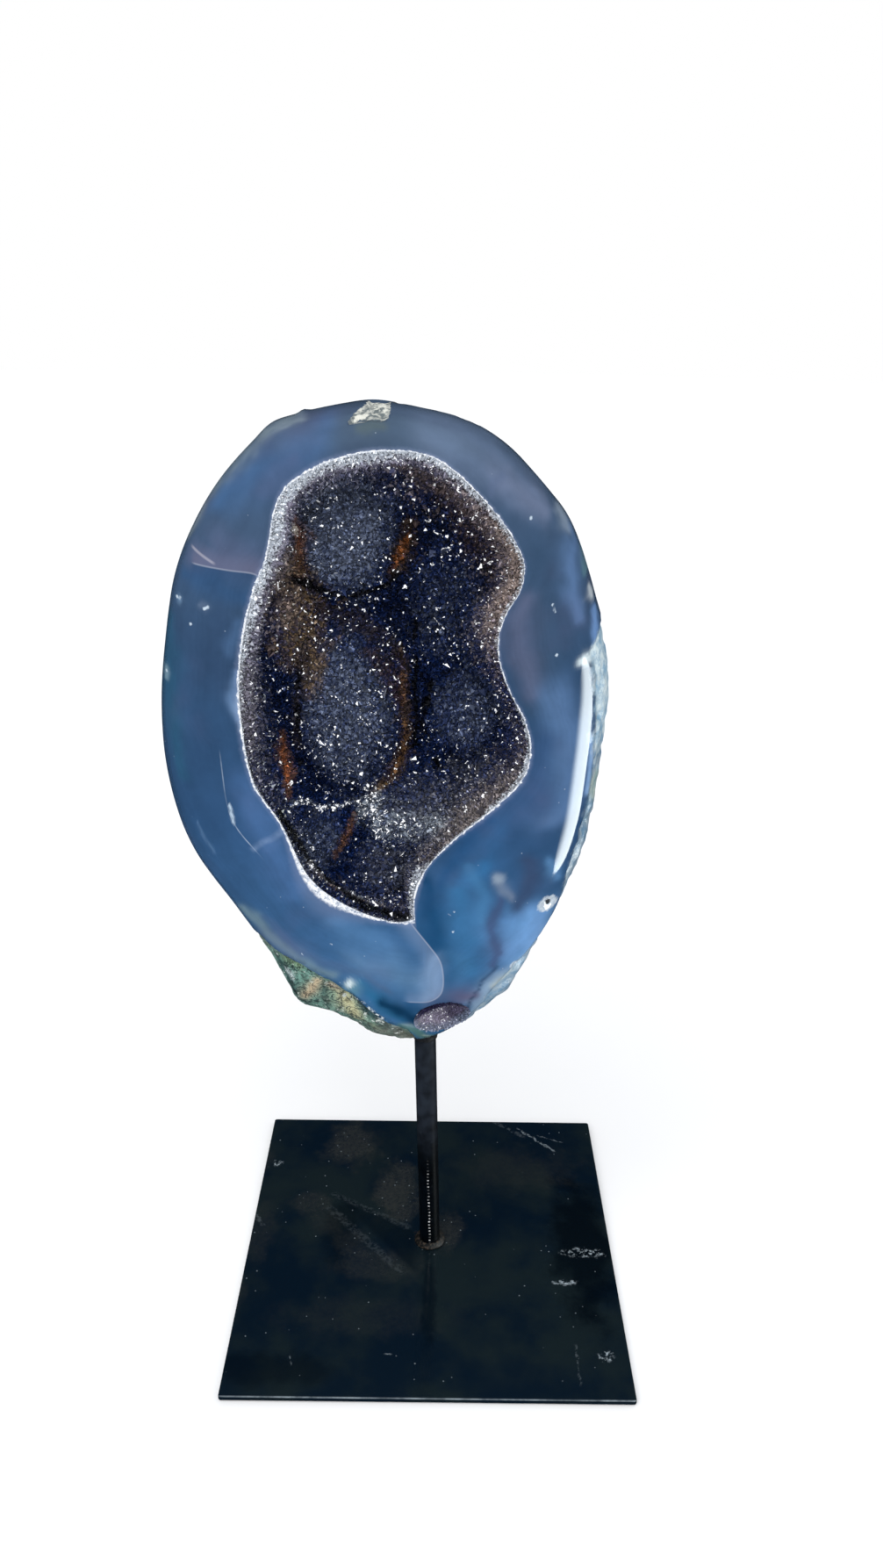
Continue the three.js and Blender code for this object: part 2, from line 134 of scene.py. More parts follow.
def spots(pixels, tree=STONE_TREE):
    """The same for several pixels."""
    return np.array([spot(*pixel, tree) for pixel in pixels])


def smooth_row(p, finer, closed=True, corner=False):
    """A finer row of points through the given ones, along the first axis, with at most one corner."""
    if closed:
        before, after = np.roll(p, 1, 0), np.roll(p, -1, 0)
    else:
        before = np.concatenate([2 * p[:1] - p[1:2], p[:-1]])
        after = np.concatenate([p[1:], 2 * p[-1:] - p[-2:-1]])
    out_way = (after - before) / 2
    in_way = out_way.copy()
    if corner:
        out_way[0] = 1.5 * (after[0] - p[0]) - 0.5 * out_way[1]
        in_way[0] = 1.5 * (p[0] - before[0]) - 0.5 * out_way[-1]
    end, end_way = after, np.roll(in_way, -1, 0)
    if not closed:
        p, end, out_way, end_way = p[:-1], p[1:], out_way[:-1], in_way[1:]
    t = (np.arange(finer) / finer).reshape((1, finer) + (1,) * (p.ndim - 1))
    a, b, m, k = (v[:, None] for v in (p, end, out_way, end_way))
    made = (2 * t**3 - 3 * t**2 + 1) * a + (t**3 - 2 * t**2 + t) * m
    made = made + (3 * t**2 - 2 * t**3) * b + (t**3 - t**2) * k
    made = made.reshape((-1,) + p.shape[1:])
    return made if closed else np.concatenate([made, end[-1:]])


def hash_unit(i, j, k, seed):
    """A repeatable number from 0 to 1 for each cell of a lattice."""
    h = (i * 374761393 + j * 668265263 + k * 2147483647 + seed * 974634777) & 0xFFFFFFFF
    h = ((h ^ (h >> 13)) * 1274126177) & 0xFFFFFFFF
    h = ((h ^ (h >> 16)) * 2246822519) & 0xFFFFFFFF
    return ((h ^ (h >> 15)) & 0xFFFFFF) / float(0xFFFFFF)


def noise(p, size, seed=0, octaves=1):
    """Smooth noise from about -1 to 1 at points in mm, with lumps of about the given size."""
    total, weight, gain = 0.0, 0.0, 1.0
    for octave in range(octaves):
        q = np.asarray(p, float) / size * 2**octave + 31.7 * octave
        cell = np.floor(q).astype(np.int64)
        f = q - cell
        f = f * f * (3 - 2 * f)
        value = 0.0
        for corner in np.ndindex(2, 2, 2):
            share = np.where(corner, f, 1 - f).prod(1)
            value = value + share * hash_unit(*(cell + corner).T, seed + octave)
        total = total + gain * (2 * value - 1)
        weight += gain
        gain *= 0.5
    return total / weight * 1.6


def rise(x, low, high):
    """Smooth step from 0 at low to 1 at high."""
    t = np.clip((x - low) / (high - low), 0, 1)
    return t * t * (3 - 2 * t)


def linear(*srgb):
    """A screen colour from 0 to 255 as linear light."""
    c = np.array(srgb, float) / 255
    return np.where(c <= 0.04045, c / 12.92, ((c + 0.055) / 1.055) ** 2.4)


def to_path(p, path):
    """Least distance of each point from an open path, in mm, and how far along it that is, from 0 to 1."""
    best, where = np.full(len(p), 1e9), np.zeros(len(p))
    lengths = np.linalg.norm(np.diff(path, axis=0), axis=1)
    passed = np.concatenate([[0], np.cumsum(lengths)]) / lengths.sum()
    for k, (a, b) in enumerate(zip(path[:-1], path[1:])):
        way = b - a
        t = np.clip((p - a) @ way / (way @ way), 0, 1)
        off = np.linalg.norm(p - a - t[:, None] * way, axis=1)
        where = np.where(off < best, passed[k] + t * (passed[k + 1] - passed[k]), where)
        best = np.minimum(best, off)
    return best, where


def unit(v):
    """Vectors at a length of 1."""
    return v / np.linalg.norm(v, axis=-1, keepdims=True)


def from_middle(p):
    """Angle and reach of points round the middle of the stone's outline."""
    x, z = p[..., 0] - MIDDLE[0], p[..., 2] - MIDDLE[1]
    return np.arctan2(z, x), np.hypot(x, z)


def read_rings():
    """The CAD stone's outline as reaches from its middle, and its hollow's rows of points."""
    s = STONE_POINTS
    angle, reach = from_middle(s)
    front = s[:, 1] < 15
    # Points inside the hollow give the rows' angles; each row's rim is its foremost point
    inner = np.sort(angle[front & (reach > 8) & (reach < 25)])
    turns = [run.mean() for run in np.split(inner, np.where(np.diff(inner) > 0.01)[0] + 1)]
    bulge = -s[:, 1].min()
    widest, rows = [], []
    for turn in turns:
        apart = np.angle(np.exp(1j * (angle - turn)))
        own = np.where((np.abs(apart) < 2e-3) & front & (reach > 0.5))[0]
        rim = own[np.argmin(s[own, 1])]
        on_face = (s[own, 1] > -0.99 * bulge) & (s[own, 1] < -0.3 * bulge)
        face = own[(reach[own] > reach[rim] + 1) & on_face]
        guess = np.median(reach[face] / (1 - (s[face, 1] / bulge) ** 2) ** (1 / FACE_POWER))
        widest.append(guess)
        # From the rim down: always the nearest of the row's points that aren't on the face
        u = np.clip(reach[own] / guess, 0, 1)
        off_face = np.abs(s[own, 1] + bulge * np.sqrt(1 - u**FACE_POWER)) > 0.3
        left = [i for i in own[off_face] if i != rim and reach[i] < reach[rim] + 4]
        row = [rim]
        while left:
            row.append(min(left, key=lambda i: np.linalg.norm(s[i] - s[row[-1]])))
            left.remove(row[-1])
        rows.append(row)
    count = min(len(r) for r in rows)
    hollow = np.array([[s[i] for i in r[:count]] for r in rows])
    centre = s[np.argmin(reach + 1e3 * ~front)]
    hollow = np.concatenate([hollow, np.repeat(centre[None, None], len(hollow), 0)], 1)
    # Rows start at the rim's sharpest turn, its one corner
    along = np.roll(hollow[:, 0], -1, 0) - hollow[:, 0]
    heading = np.arctan2(along[:, 2], along[:, 0])
    tip = np.argmax(np.abs(np.angle(np.exp(1j * (heading - np.roll(heading, 1))))))
    return np.roll(widest, -tip), np.roll(hollow, -tip, 0), bulge


RING_REACH, HOLLOW_ROWS, FACE_BULGE = read_rings()
BACK_BULGE = STONE_POINTS[:, 1].max()


def knobs(p):
    """Height of the back's knobs at points, about -2 to 2."""
    x, y, z = p[..., 0], p[..., 1], p[..., 2]
    wavy = np.sin(x / 7.1 + np.sin(z / 9.3)) * np.cos(z / 8.3 + y / 11)
    return wavy + 0.6 * np.sin(x / 3.9 - z / 4.7 + y / 5.3) + 0.8 * np.cos(z / 15 + x / 21)


def polar(angle, reach, y, middle=MIDDLE):
    """Points at angles and reaches round a middle."""
    x = middle[..., 0] + reach * np.cos(angle)
    z = middle[..., 1] + reach * np.sin(angle)
    return np.stack(np.broadcast_arrays(x, y, z), -1)


def face_grid():
    """Polished front from the rim to the widest outline in even steps, with its distances from the rim."""
    outer = smooth_row(RING_REACH, FINER) - INSET
    steps, inner = from_middle(smooth_row(HOLLOW_ROWS[:, 0], FINER, corner=True))
    steps = np.unwrap(steps)
    q = 1 - (1 - np.linspace(0, 1, FACE_FINE)) ** 2
    u = (inner / outer)[:, None] + (1 - (inner / outer)[:, None]) * q
    line = polar(steps[:, None], outer[:, None] * u, -FACE_BULGE * np.sqrt(np.clip(1 - u**FACE_POWER, 0, 1)))
    passed = np.cumsum(np.linalg.norm(np.diff(line, axis=1), axis=2), 1)
    passed = np.concatenate([np.zeros((len(u), 1)), passed], 1)
    share = np.linspace(0, 1, FACE_ROWS + 1)
    grid = np.empty((len(u), FACE_ROWS + 1, 3))
    for i, (row, way) in enumerate(zip(line, passed)):
        for axis in range(3):
            grid[i, :, axis] = np.interp(share * way[-1], way, row[:, axis])
    return grid, passed[:, -1:] * share, steps, outer


def back_grid(steps, outer):
    """Natural back, from just behind the widest outline to the middle of the back."""
    turn = np.arange(1, BACK_ROWS + 1) / BACK_ROWS
    phi = turn * np.pi / 2
    u = np.clip(np.cos(phi), 0, 1) ** (2 / BACK_POWER)
    y = (BACK_BULGE - BACK_SHORT) * np.sin(phi) ** (2 / BACK_POWER)
    middle = BACK_MIDDLE + (MIDDLE - BACK_MIDDLE) * u[:, None]
    p = polar(steps[:, None], outer[:, None] * u, y, middle[None])
    out = unit(polar(steps[:, None], u, y / BACK_BULGE, np.zeros(2)))
    return p + out * (KNOB_HIGH * knobs(p) * np.minimum(1, turn * 4))[..., None]


def grid_normals(grid, row, out=(0, -1, 0)):
    """Normals of a grid that closes round its first axis, on the side where a row's look outward."""
    around = np.roll(grid, -1, 0) - np.roll(grid, 1, 0)
    normal = np.cross(around, np.gradient(grid, axis=1))
    normal /= np.maximum(np.linalg.norm(normal, axis=-1, keepdims=True), 1e-9)
    return normal if (normal[:, row] @ np.array(out)).mean() > 0 else -normal


def linked(name, data):
    """An object of the scene for a mesh, a lamp or a camera."""
    made = bpy.data.objects.new(name, data)
    bpy.context.scene.collection.objects.link(made)
    return made


def placed(mesh):
    """An object for a mesh, riding on the root body."""
    made = linked(mesh.name, mesh)
    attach(made, "root")
    return made


def new_mesh(name, points, faces, smooth=True):
    """A mesh object that rides on the root body, from points in the stone frame."""
    mesh = bpy.data.meshes.new(name)
    mesh.vertices.add(len(points))
    mesh.vertices.foreach_set("co", to_world(points).astype(np.float32).ravel())
    mesh.loops.add(faces.size)
    mesh.loops.foreach_set("vertex_index", faces.ravel().astype(np.int32))
    mesh.polygons.add(len(faces))
    mesh.polygons.foreach_set("loop_start", np.arange(0, faces.size, faces.shape[1], dtype=np.int32))
    mesh.update(calc_edges=True)
    mesh.shade_smooth() if smooth else mesh.shade_flat()
    return placed(mesh)


def grid_faces(around, rows):
    """Corners of the four-sided cells of a grid that closes round its first axis."""
    i, j = np.arange(around)[:, None], np.arange(rows - 1)[None]
    a, b = i * rows + j, (i + 1) % around * rows + j
    return np.stack([a, a + 1, b + 1, b], -1).reshape(-1, 4)


def cap_faces(around, rows):
    """Triangles from a grid's last row to a point in its middle, which follows the grid's own points."""
    last = np.arange(1, around + 1) * rows - 1
    return np.stack([last, np.full(around, around * rows), np.roll(last, -1)], 1)


def tree_of(points, quads):
    """A search tree over points and faces."""
    return BVHTree.FromPolygons([Vector(p) for p in points], quads.tolist())


def halved(quads, points):
    """Two triangles to each cell, without those that have no area."""
    both = np.concatenate([quads[:, [0, 1, 2]], quads[:, [0, 2, 3]]])
    a, b, c = (points[both[:, k]] for k in range(3))
    return both[np.linalg.norm(np.cross(b - a, c - a), axis=1) > 1e-7]


def store(mesh, name, values, domain="POINT"):
    """Keeps a number or a colour for each point or corner of a mesh."""
    values = np.asarray(values, np.float32)
    kind, field = ("FLOAT", "value") if values.ndim == 1 else ("FLOAT_COLOR", "color")
    if kind == "FLOAT_COLOR" and values.shape[1] == 3:
        values = np.concatenate([values, np.ones((len(values), 1), np.float32)], 1)
    mesh.attributes.new(name, kind, domain).data.foreach_set(field, values.ravel())


class Value:
    """Output of a node, which takes part in sums, steps and mixes."""

    def __init__(self, m, socket):
        self.m, self.socket = m, socket

    def __add__(self, other):
        return self.m.math("ADD", self, other)

    def __mul__(self, other):
        return self.m.math("MULTIPLY", self, other)

    def __sub__(self, other):
        return self.m.math("SUBTRACT", self, other)

    def __rsub__(self, other):
        return self.m.math("SUBTRACT", other, self)

    def __truediv__(self, other):
        return self.m.math("DIVIDE", self, other)

    def __abs__(self):
        return self.m.math("ABSOLUTE", self)

    __radd__, __rmul__ = __add__, __mul__

    def step(self, low, high, out_low=0.0, out_high=1.0):
        """Smooth step between two values."""
        return self.m.node("MapRange", (self, low, high, out_low, out_high), interpolation_type="SMOOTHSTEP")

    def fall(self, low, high):
        """Smooth step from 1 down to 0."""
        return self.step(low, high, 1.0, 0.0)

    def toward(self, share, *srgb):
        """This colour, mixed with a screen colour."""
        return self.m.mix(share, self, linear(*srgb))

    def times(self, other):
        """This colour, multiplied by another or by a number."""
        return self.m.mix(1.0, self, other, "MULTIPLY")


class Nodes:
    """Builds one node tree, node by node. Sizes of patterns are in mm."""

    def __init__(self, tree):
        self.tree = tree

    def put(self, socket, value):
        """Links a node's output to a socket, or sets the socket's number or colour."""
        if isinstance(value, Value):
            self.tree.links.new(value.socket, socket)
            return
        size = len(socket.default_value) if hasattr(socket.default_value, "__len__") else 0
        if size and not hasattr(value, "__len__"):
            value = [value] * size
        elif size == 4:
            value = [*value[:3], 1]
        socket.default_value = value

    def node(self, kind, inputs=(), output=0, **settings):
        """Adds a node, links or sets its inputs by place or by name, and gives one of its outputs."""
        made = self.tree.nodes.new("ShaderNode" + kind)
        for key, value in settings.items():
            setattr(made, key, value)
        for key, value in inputs.items() if isinstance(inputs, dict) else enumerate(inputs):
            self.put(made.inputs[key], value)
        return Value(self, made.outputs[output])

    def attribute(self, name, output="Fac"):
        return self.node("Attribute", (), output, attribute_name=name)

    def math(self, kind, *values, **settings):
        return self.node("Math", values, operation=kind, **settings)

    def mix(self, factor, a, b, blend="MIX"):
        return self.node("Mix", {0: factor, 6: a, 7: b}, 2, data_type="RGBA", blend_type=blend)

    def between(self, share, low, high):
        """A colour between two screen colours."""
        return self.mix(share, linear(*low), linear(*high))

    def noise(self, size, detail=2.0, rough=0.5, distortion=0.0):
        inputs = {"Vector": self.place, "Scale": 1000.0 / size, "Detail": detail, "Roughness": rough}
        return self.node("TexNoise", {**inputs, "Distortion": distortion})

    def wobble(self, size, amount, *details):
        """Noise round 0."""
        return (self.noise(size, *details) - 0.5) * amount

    def cells(self, size):
        inputs = {"Vector": self.place, "Scale": 1000.0 / size}
        return self.node("TexVoronoi", inputs, "Distance", feature="F1")

    def bump(self, height, distance, strength=1.0, **normal):
        inputs = {"Height": height, "Strength": strength, "Distance": distance * MM}
        return self.node("Bump", {**inputs, **normal})

    def finish(self, *pieces, **sockets):
        """Sets the shader's sockets and gives the material to some pieces."""
        for key, value in sockets.items():
            self.put(self.tree.nodes["Principled BSDF"].inputs[key.replace("_", " ")], value)
        for piece in pieces:
            piece.data.materials.append(self.material)


def new_material(name):
    material = bpy.data.materials.new(name)
    material.use_nodes = True
    m = Nodes(material.node_tree)
    m.material = material
    m.place = m.node("TexCoord", (), "Object")
    return m


# Stone skin
face, rim_away, STEPS, outline = face_grid()
back = back_grid(STEPS, outline)
skin = np.concatenate([face, back[:, :-1]], 1)
AROUND, ROWS = skin.shape[:2]
normal = grid_normals(skin, 20)
first_flat = skin.reshape(-1, 3)
rim_mm = np.concatenate([rim_away, np.full((AROUND, ROWS - FACE_ROWS - 1), 99.0)], 1)

# Where the polish ends on the front, as pixels of the photograph
LOWER_LEFT_POLISH = [
    (296, 1064), (313, 1081), (330, 1092), (346, 1099), (364, 1110), (384, 1121), (400, 1133), (414, 1144),
    (426, 1154), (440, 1163), (466, 1173), (484, 1182),
]
LOW_RIGHT_POLISH = [
    (655, 986), (644, 1010), (630, 1040), (614, 1066), (596, 1088), (576, 1108), (556, 1132), (540, 1152),
]
RIGHT_POLISH = [
    (671, 744), (676, 758), (677, 800), (676, 850), (671, 900), (664, 935), (655, 965), (646, 990),
]
# How fast a line's hold fades past its ends, in mm for each radian
END_SLOPE = 70.0


def beyond(pixels):
    """How far skin points lie outside a line along the outline, in mm, less and less off its ends."""
    turn, reach = from_middle(spots(pixels))
    own_turn, own = from_middle(skin)
    if turn.max() - turn.min() > np.pi:
        turn = turn % (2 * np.pi)
    if turn.max() > np.pi:
        own_turn = own_turn % (2 * np.pi)
    order = np.argsort(turn)
    turn, reach = turn[order], reach[order]
    off_ends = np.maximum(np.maximum(turn[0] - own_turn, own_turn - turn[-1]), 0)
    return own - np.interp(own_turn, turn, reach) - END_SLOPE * off_ends


def over_skin(size, seed, octaves):
    """Noise at the skin's points before anything is sunk."""
    return noise(first_flat, size, seed, octaves).reshape(AROUND, ROWS)


# Rind: how far beyond the polish skin points lie, in mm, and how far its lumps, grit and pits sink in
rind_right = np.maximum(beyond(RIGHT_POLISH), beyond(LOW_RIGHT_POLISH))
wander = over_skin(9, 3, 3)
rind_back = skin[..., 1] - FRONT_END - 3.5 * wander
rind_mm = np.clip(np.maximum(np.maximum(beyond(LOWER_LEFT_POLISH), rind_right), rind_back), -20, 20)
pits = rise(over_skin(6.5, 21, 2), 0.25, 0.8)
sunk = 0.55 + 0.55 * over_skin(11, 5, 3) + 0.28 * over_skin(2.6, 8, 2) + 1.1 * pits
sunk = rise(rind_mm, -0.2, 1.2) * sunk
skin = skin - normal * np.maximum(sunk, 0.0)[..., None]

# Wedge-shaped chip at the top: its line, and its half width at each point and depth in mm
CHIP_LINE = [(399, 481), (412, 473), (424, 467), (434, 467)]
CHIP_HALF = [0.4, 1.4, 2.1, 2.3]
CHIP_DEEP = 0.8
# Dents and raised spots: pixel, half width and half height in pixels, and depth or height in mm
DENTS = [
    ((624, 1029), 5, 6, 1.6), ((587, 1098), 3, 4, 0.7), ((565, 1116), 5, 6, 0.5), ((667, 942), 5, 7, 2.2),
]
BUMPS = [((400, 1119), 7, 9, 0.7), ((345, 468), 5, 4, 0.6)]


def near(pixel, wide, high, back_to=FRONT_END):
    """How near skin points are to a spot of the photograph: 1 in its middle, falling to 0."""
    at = spot(*pixel)
    dx, dz = (skin[..., 0] - at[0]) * PX_PER_MM, (skin[..., 2] - at[2]) * PX_PER_MM
    return np.exp(-((dx / wide) ** 2) - (dz / high) ** 2) * (skin[..., 1] < back_to)


def fading(strength):
    """A strength over the skin that fades out on the way to the back, along a wandering line."""
    return strength * (1 - rise(skin[..., 1] + 5 * wander, 5, 12))


def chip_away(points):
    """Distance of points outside the chip, in mm, less than 0 inside it."""
    line = spots(CHIP_LINE)[:, [0, 2]]
    best = np.full(len(points), FAR)
    for a, b, wide, wider in zip(line[:-1], line[1:], CHIP_HALF[:-1], CHIP_HALF[1:]):
        way = b - a
        t = np.clip((points[:, [0, 2]] - a) @ way / (way @ way), 0, 1)
        off = np.linalg.norm(points[:, [0, 2]] - a - t[:, None] * way, axis=1)
        best = np.minimum(best, off - wide - (wider - wide) * t)
    return np.where(points[:, 1] < FRONT_END, best, FAR)


relief = CHIP_DEEP * rise(-chip_away(first_flat), -0.3, 0.5).reshape(AROUND, ROWS)
relief = relief * (0.9 + 0.6 * over_skin(2.0, 40, 3))
relief = relief + sum(deep * near(at, w, h) for at, w, h, deep in DENTS)
relief = relief - sum(high * near(at, w, h) for at, w, h, high in BUMPS)
skin = skin - normal * relief[..., None]
# Seat of the stone, flat where the putty meets it
skin[..., 2] = np.maximum(skin[..., 2], STONE_POINTS[:, 2].min())

# Pocket low on the face: its middle, its own axes and its half size, from the CAD crystals in it
pocket_points = to_stone(points_of("vug_crust"))
pocket_at = pocket_points.mean(0)
nearest = np.unravel_index(np.argmin(np.linalg.norm(skin - pocket_at + [0, -6, 0], axis=2)), skin.shape[:2])
POCKET_OUT = normal[nearest]
POCKET_SIDE = unit(np.cross(POCKET_OUT, [0, 0, 1.0]))
POCKET_UP = np.cross(POCKET_SIDE, POCKET_OUT)
if POCKET_UP[2] < 0:
    POCKET_UP = -POCKET_UP
POCKET_AXES = np.stack([POCKET_SIDE, POCKET_UP])
in_pocket = (pocket_points - pocket_at) @ POCKET_AXES.T
POCKET_HALF = np.ptp(in_pocket, axis=0) / 2
pocket_at = pocket_at + (in_pocket.max(0) + in_pocket.min(0)) / 2 @ POCKET_AXES


def pocket_place(p):
    """How far across and along the pocket points lie, as shares of its half size."""
    return (p - pocket_at) @ POCKET_AXES.T / POCKET_HALF


# The skin is open over the pocket: points on its edge are pushed out to it
across = pocket_place(skin)
q = np.hypot(across[..., 0], across[..., 1])
q = np.where((skin - pocket_at) @ POCKET_OUT > -6, q, 99.0)
wall = (q < 1) & (q > 0.02)
push = np.where(wall, 1 / np.maximum(q, 0.02), 1.0) - 1
faces = grid_faces(AROUND, ROWS)
open_faces = ~np.all((q < 1).ravel()[faces], axis=1)
skin = np.where(wall[..., None], skin + (push[..., None] * across * POCKET_HALF) @ POCKET_AXES, skin)
flat = skin.reshape(-1, 3)
skin_points = np.concatenate([flat, back[:1, -1]])
triangles = np.concatenate([halved(faces[open_faces], skin_points), cap_faces(AROUND, ROWS)])
if np.cross(*(skin_points[triangles[0, 1:]] - skin_points[triangles[0, 0]]))[1] > 0:
    triangles = triangles[:, ::-1]
stone_skin = new_mesh("geode_stone", skin_points, triangles)
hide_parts("geode")

# Colour of the chalcedony: heights over the stone's own origin in mm, the screen colour at each, and strokes
# over them, each as pixels of the photograph, half width in pixels, screen colour and strength
HEIGHTS = [-100, -60, -20, 20, 60, 90]
LEVELS = [(58, 102, 144), (57, 95, 136), (44, 75, 111), (46, 72, 103), (62, 83, 110), (66, 82, 104)]
STROKES = [
    ([(262, 560), (300, 530), (370, 490)], 20, (62, 95, 136), 0.7),
    ([(330, 530), (300, 560)], 14, (72, 88, 120), 0.6),
    # Painted reflection: a pale band along the upper-left shoulder
    ([(216, 606), (238, 562), (266, 524), (302, 491), (340, 476)], 6, (126, 142, 152), 0.75),
    # Greyer haze at the top right: painted sheen over the stone's grey-blue
    ([(480, 492), (520, 505), (560, 535)], 22, (94, 110, 136), 0.7),
    ([(566, 542), (606, 568), (626, 590)], 13, (118, 130, 158), 0.6),
    ([(636, 576), (648, 600)], 6, (160, 176, 194), 0.55),
    ([(574, 540), (562, 562)], 5, (86, 102, 132), 0.6),
    ([(612, 650), (624, 720), (620, 790)], 21, (52, 74, 100), 0.9),
    ([(648, 600), (654, 660), (656, 700)], 9, (92, 122, 164), 0.7),
    ([(662, 610), (668, 650)], 4, (104, 150, 160), 0.7),
    ([(598, 684), (586, 735), (598, 790)], 13, (92, 98, 124), 0.6),
    ([(640, 790), (640, 870), (620, 930)], 22, (86, 116, 156), 0.8),
    ([(606, 850), (596, 905), (566, 945)], 20, (52, 80, 118), 0.85),
    ([(570, 960), (540, 1000)], 22, (48, 88, 130), 0.8),
    ([(556, 934), (520, 976), (500, 1008)], 8, (34, 74, 116), 0.75),
    ([(545, 985), (530, 1004)], 11, (52, 112, 162), 0.6),
    ([(486, 1012), (496, 1045), (507, 1085)], 13, (24, 66, 104), 1.0),
    ([(520, 1010), (530, 1060), (532, 1110)], 15, (52, 104, 148), 0.8),
    ([(536, 985), (548, 1020), (546, 1050)], 7, (66, 118, 162), 0.6),
    ([(510, 1085), (524, 1105), (520, 1128)], 8, (66, 116, 158), 0.6),
    ([(602, 1042), (596, 1068), (584, 1096)], 27, (112, 160, 212), 1.0),
    ([(618, 1054), (610, 1076)], 10, (134, 178, 232), 0.75),
    ([(606, 998), (600, 1004)], 5, (74, 84, 110), 0.6),
    ([(570, 1026), (562, 1048), (563, 1070), (567, 1086), (560, 1100)], 6, (62, 80, 116), 0.85),
    ([(600, 986), (605, 1010), (592, 1038)], 12, (54, 74, 106), 0.95),
    ([(568, 999), (574, 1010), (583, 1020)], 5, (126, 138, 156), 0.5),
    ([(566, 997), (571, 1003)], 4.5, (156, 172, 188), 0.6),
    ([(624, 985), (634, 1000)], 7, (92, 138, 184), 0.7),
    ([(612, 1078), (588, 1102), (562, 1124), (534, 1152)], 10, (138, 164, 190), 0.95),
    ([(584, 1108), (562, 1122)], 5, (178, 188, 184), 0.8),
    ([(566, 1102), (550, 1116), (540, 1136)], 2, (50, 78, 112), 0.9),
    ([(456, 1168), (474, 1174), (500, 1179), (528, 1171)], 6, (84, 122, 116), 0.95),
    ([(460, 1166), (470, 1170)], 3, (146, 172, 174), 0.8),
    ([(484, 1178), (506, 1180)], 2.5, (160, 176, 168), 0.6),
    # Painted shadow along the pocket's upper edge
    ([(486, 1144), (502, 1136), (520, 1133), (538, 1132)], 9, (92, 92, 120), 0.9),
    ([(478, 1152), (488, 1144)], 4, (66, 70, 98), 0.7),
    ([(541, 1130), (535, 1142), (531, 1152)], 2, (50, 66, 92), 0.9),
    ([(300, 968), (318, 958)], 5, (88, 112, 154), 0.5),
    ([(225, 935), (234, 955), (245, 972)], 1.5, (92, 124, 160), 0.5),
    ([(234, 640), (290, 636), (262, 615)], 17, (78, 90, 118), 0.75),
    ([(215, 655), (250, 665), (300, 668)], 12, (48, 78, 114), 0.85),
    ([(235, 700), (240, 760)], 22, (48, 70, 100), 0.7),
    ([(196, 700), (192, 800), (206, 880)], 9, (42, 84, 112), 0.7),
    ([(274, 786), (273, 806), (276, 830)], 4, (172, 198, 228), 0.95),
    ([(269, 768), (265, 798), (270, 820)], 5.5, (98, 128, 166), 0.8),
    ([(266, 712), (263, 750)], 7, (74, 104, 142), 0.6),
    ([(262, 918), (267, 938)], 1.2, (196, 216, 232), 0.9),
    ([(280, 900), (300, 950), (330, 1010)], 17, (70, 104, 150), 0.7),
    ([(278, 1034), (304, 1066), (340, 1088), (378, 1108)], 8, (108, 134, 148), 0.85),
    ([(302, 1046), (336, 1080), (368, 1099), (394, 1104), (416, 1111), (442, 1131)], 5, (66, 94, 130), 0.9),
    ([(380, 1050), (420, 1075), (456, 1092)], 12, (76, 116, 158), 0.7),
    ([(400, 1090), (450, 1108), (485, 1118)], 17, (86, 122, 158), 0.8),
    ([(494, 1092), (498, 1125), (486, 1138)], 11, (116, 144, 178), 0.8),
    ([(412, 1122), (436, 1146), (462, 1160)], 8, (40, 98, 138), 0.9),
    ([(436, 1142), (462, 1153), (480, 1157)], 8, (12, 50, 80), 1.0),
    ([(397, 1120), (399, 1122)], 12, (98, 144, 164), 0.85),
    ([(398, 1117), (399, 1122)], 4, (214, 228, 228), 0.95),
    # The first stroke on the next line is a painted shadow under the chip
    ([(408, 486), (438, 488)], 5, (84, 96, 94), 0.55), ([(203, 680), (203, 682)], 4, (104, 132, 162), 0.8),
    ([(231, 692), (237, 691)], 4, (90, 108, 134), 0.7), ([(190, 757), (190, 770)], 3, (130, 160, 176), 0.7),
    ([(671, 670), (674, 680)], 4, (206, 216, 222), 0.9),
    ([(676, 692), (679, 715), (678, 738)], 4, (122, 160, 214), 0.7),
    ([(661, 752), (668, 748), (678, 741)], 5, (214, 228, 232), 0.95),
    ([(673, 836), (672, 870), (668, 905)], 3, (140, 176, 222), 0.8),
    ([(668, 850), (664, 905), (658, 930)], 2, (48, 82, 124), 0.7),
    ([(678, 888), (676, 912)], 5, (150, 160, 108), 0.9),
    ([(672, 930), (668, 944)], 2.5, (26, 34, 40), 0.95),
]
# The same for the rind low on the left, with one colour under its strokes
RIND_GREEN = (104, 146, 134)
RIND_STROKES = [
    ([(318, 1090), (332, 1120), (345, 1140)], 6, (30, 78, 78), 0.9),
    ([(326, 1092), (340, 1102)], 6, (124, 152, 116), 0.9),
    ([(326, 1104), (332, 1114)], 3, (206, 220, 222), 0.8),
    ([(360, 1116), (353, 1138)], 8, (194, 174, 142), 1.0),
    ([(369, 1126), (372, 1146)], 4, (34, 84, 84), 0.9),
    ([(384, 1130), (393, 1146), (404, 1158)], 11, (190, 188, 148), 1.0),
    ([(376, 1124), (384, 1128)], 5, (184, 160, 136), 0.8),
    ([(412, 1164), (440, 1174)], 6, (140, 160, 130), 0.8),
    ([(404, 1132), (416, 1152), (440, 1166)], 4, (28, 70, 82), 0.9),
    ([(450, 1176), (530, 1174)], 7, (54, 104, 92), 0.9),
    ([(432, 1166), (446, 1172), (458, 1176)], 5, (32, 70, 68), 0.9),
    ([(431, 1162), (437, 1165)], 2.5, (206, 220, 220), 0.9),
    ([(447, 1168), (452, 1170)], 2, (190, 206, 204), 0.8),
]


def bell(degrees, middle, spread):
    """1 at an angle round the outline, falling to 0 away from it."""
    return np.exp(-((((degrees - middle + 180) % 360 - 180) / spread) ** 2))


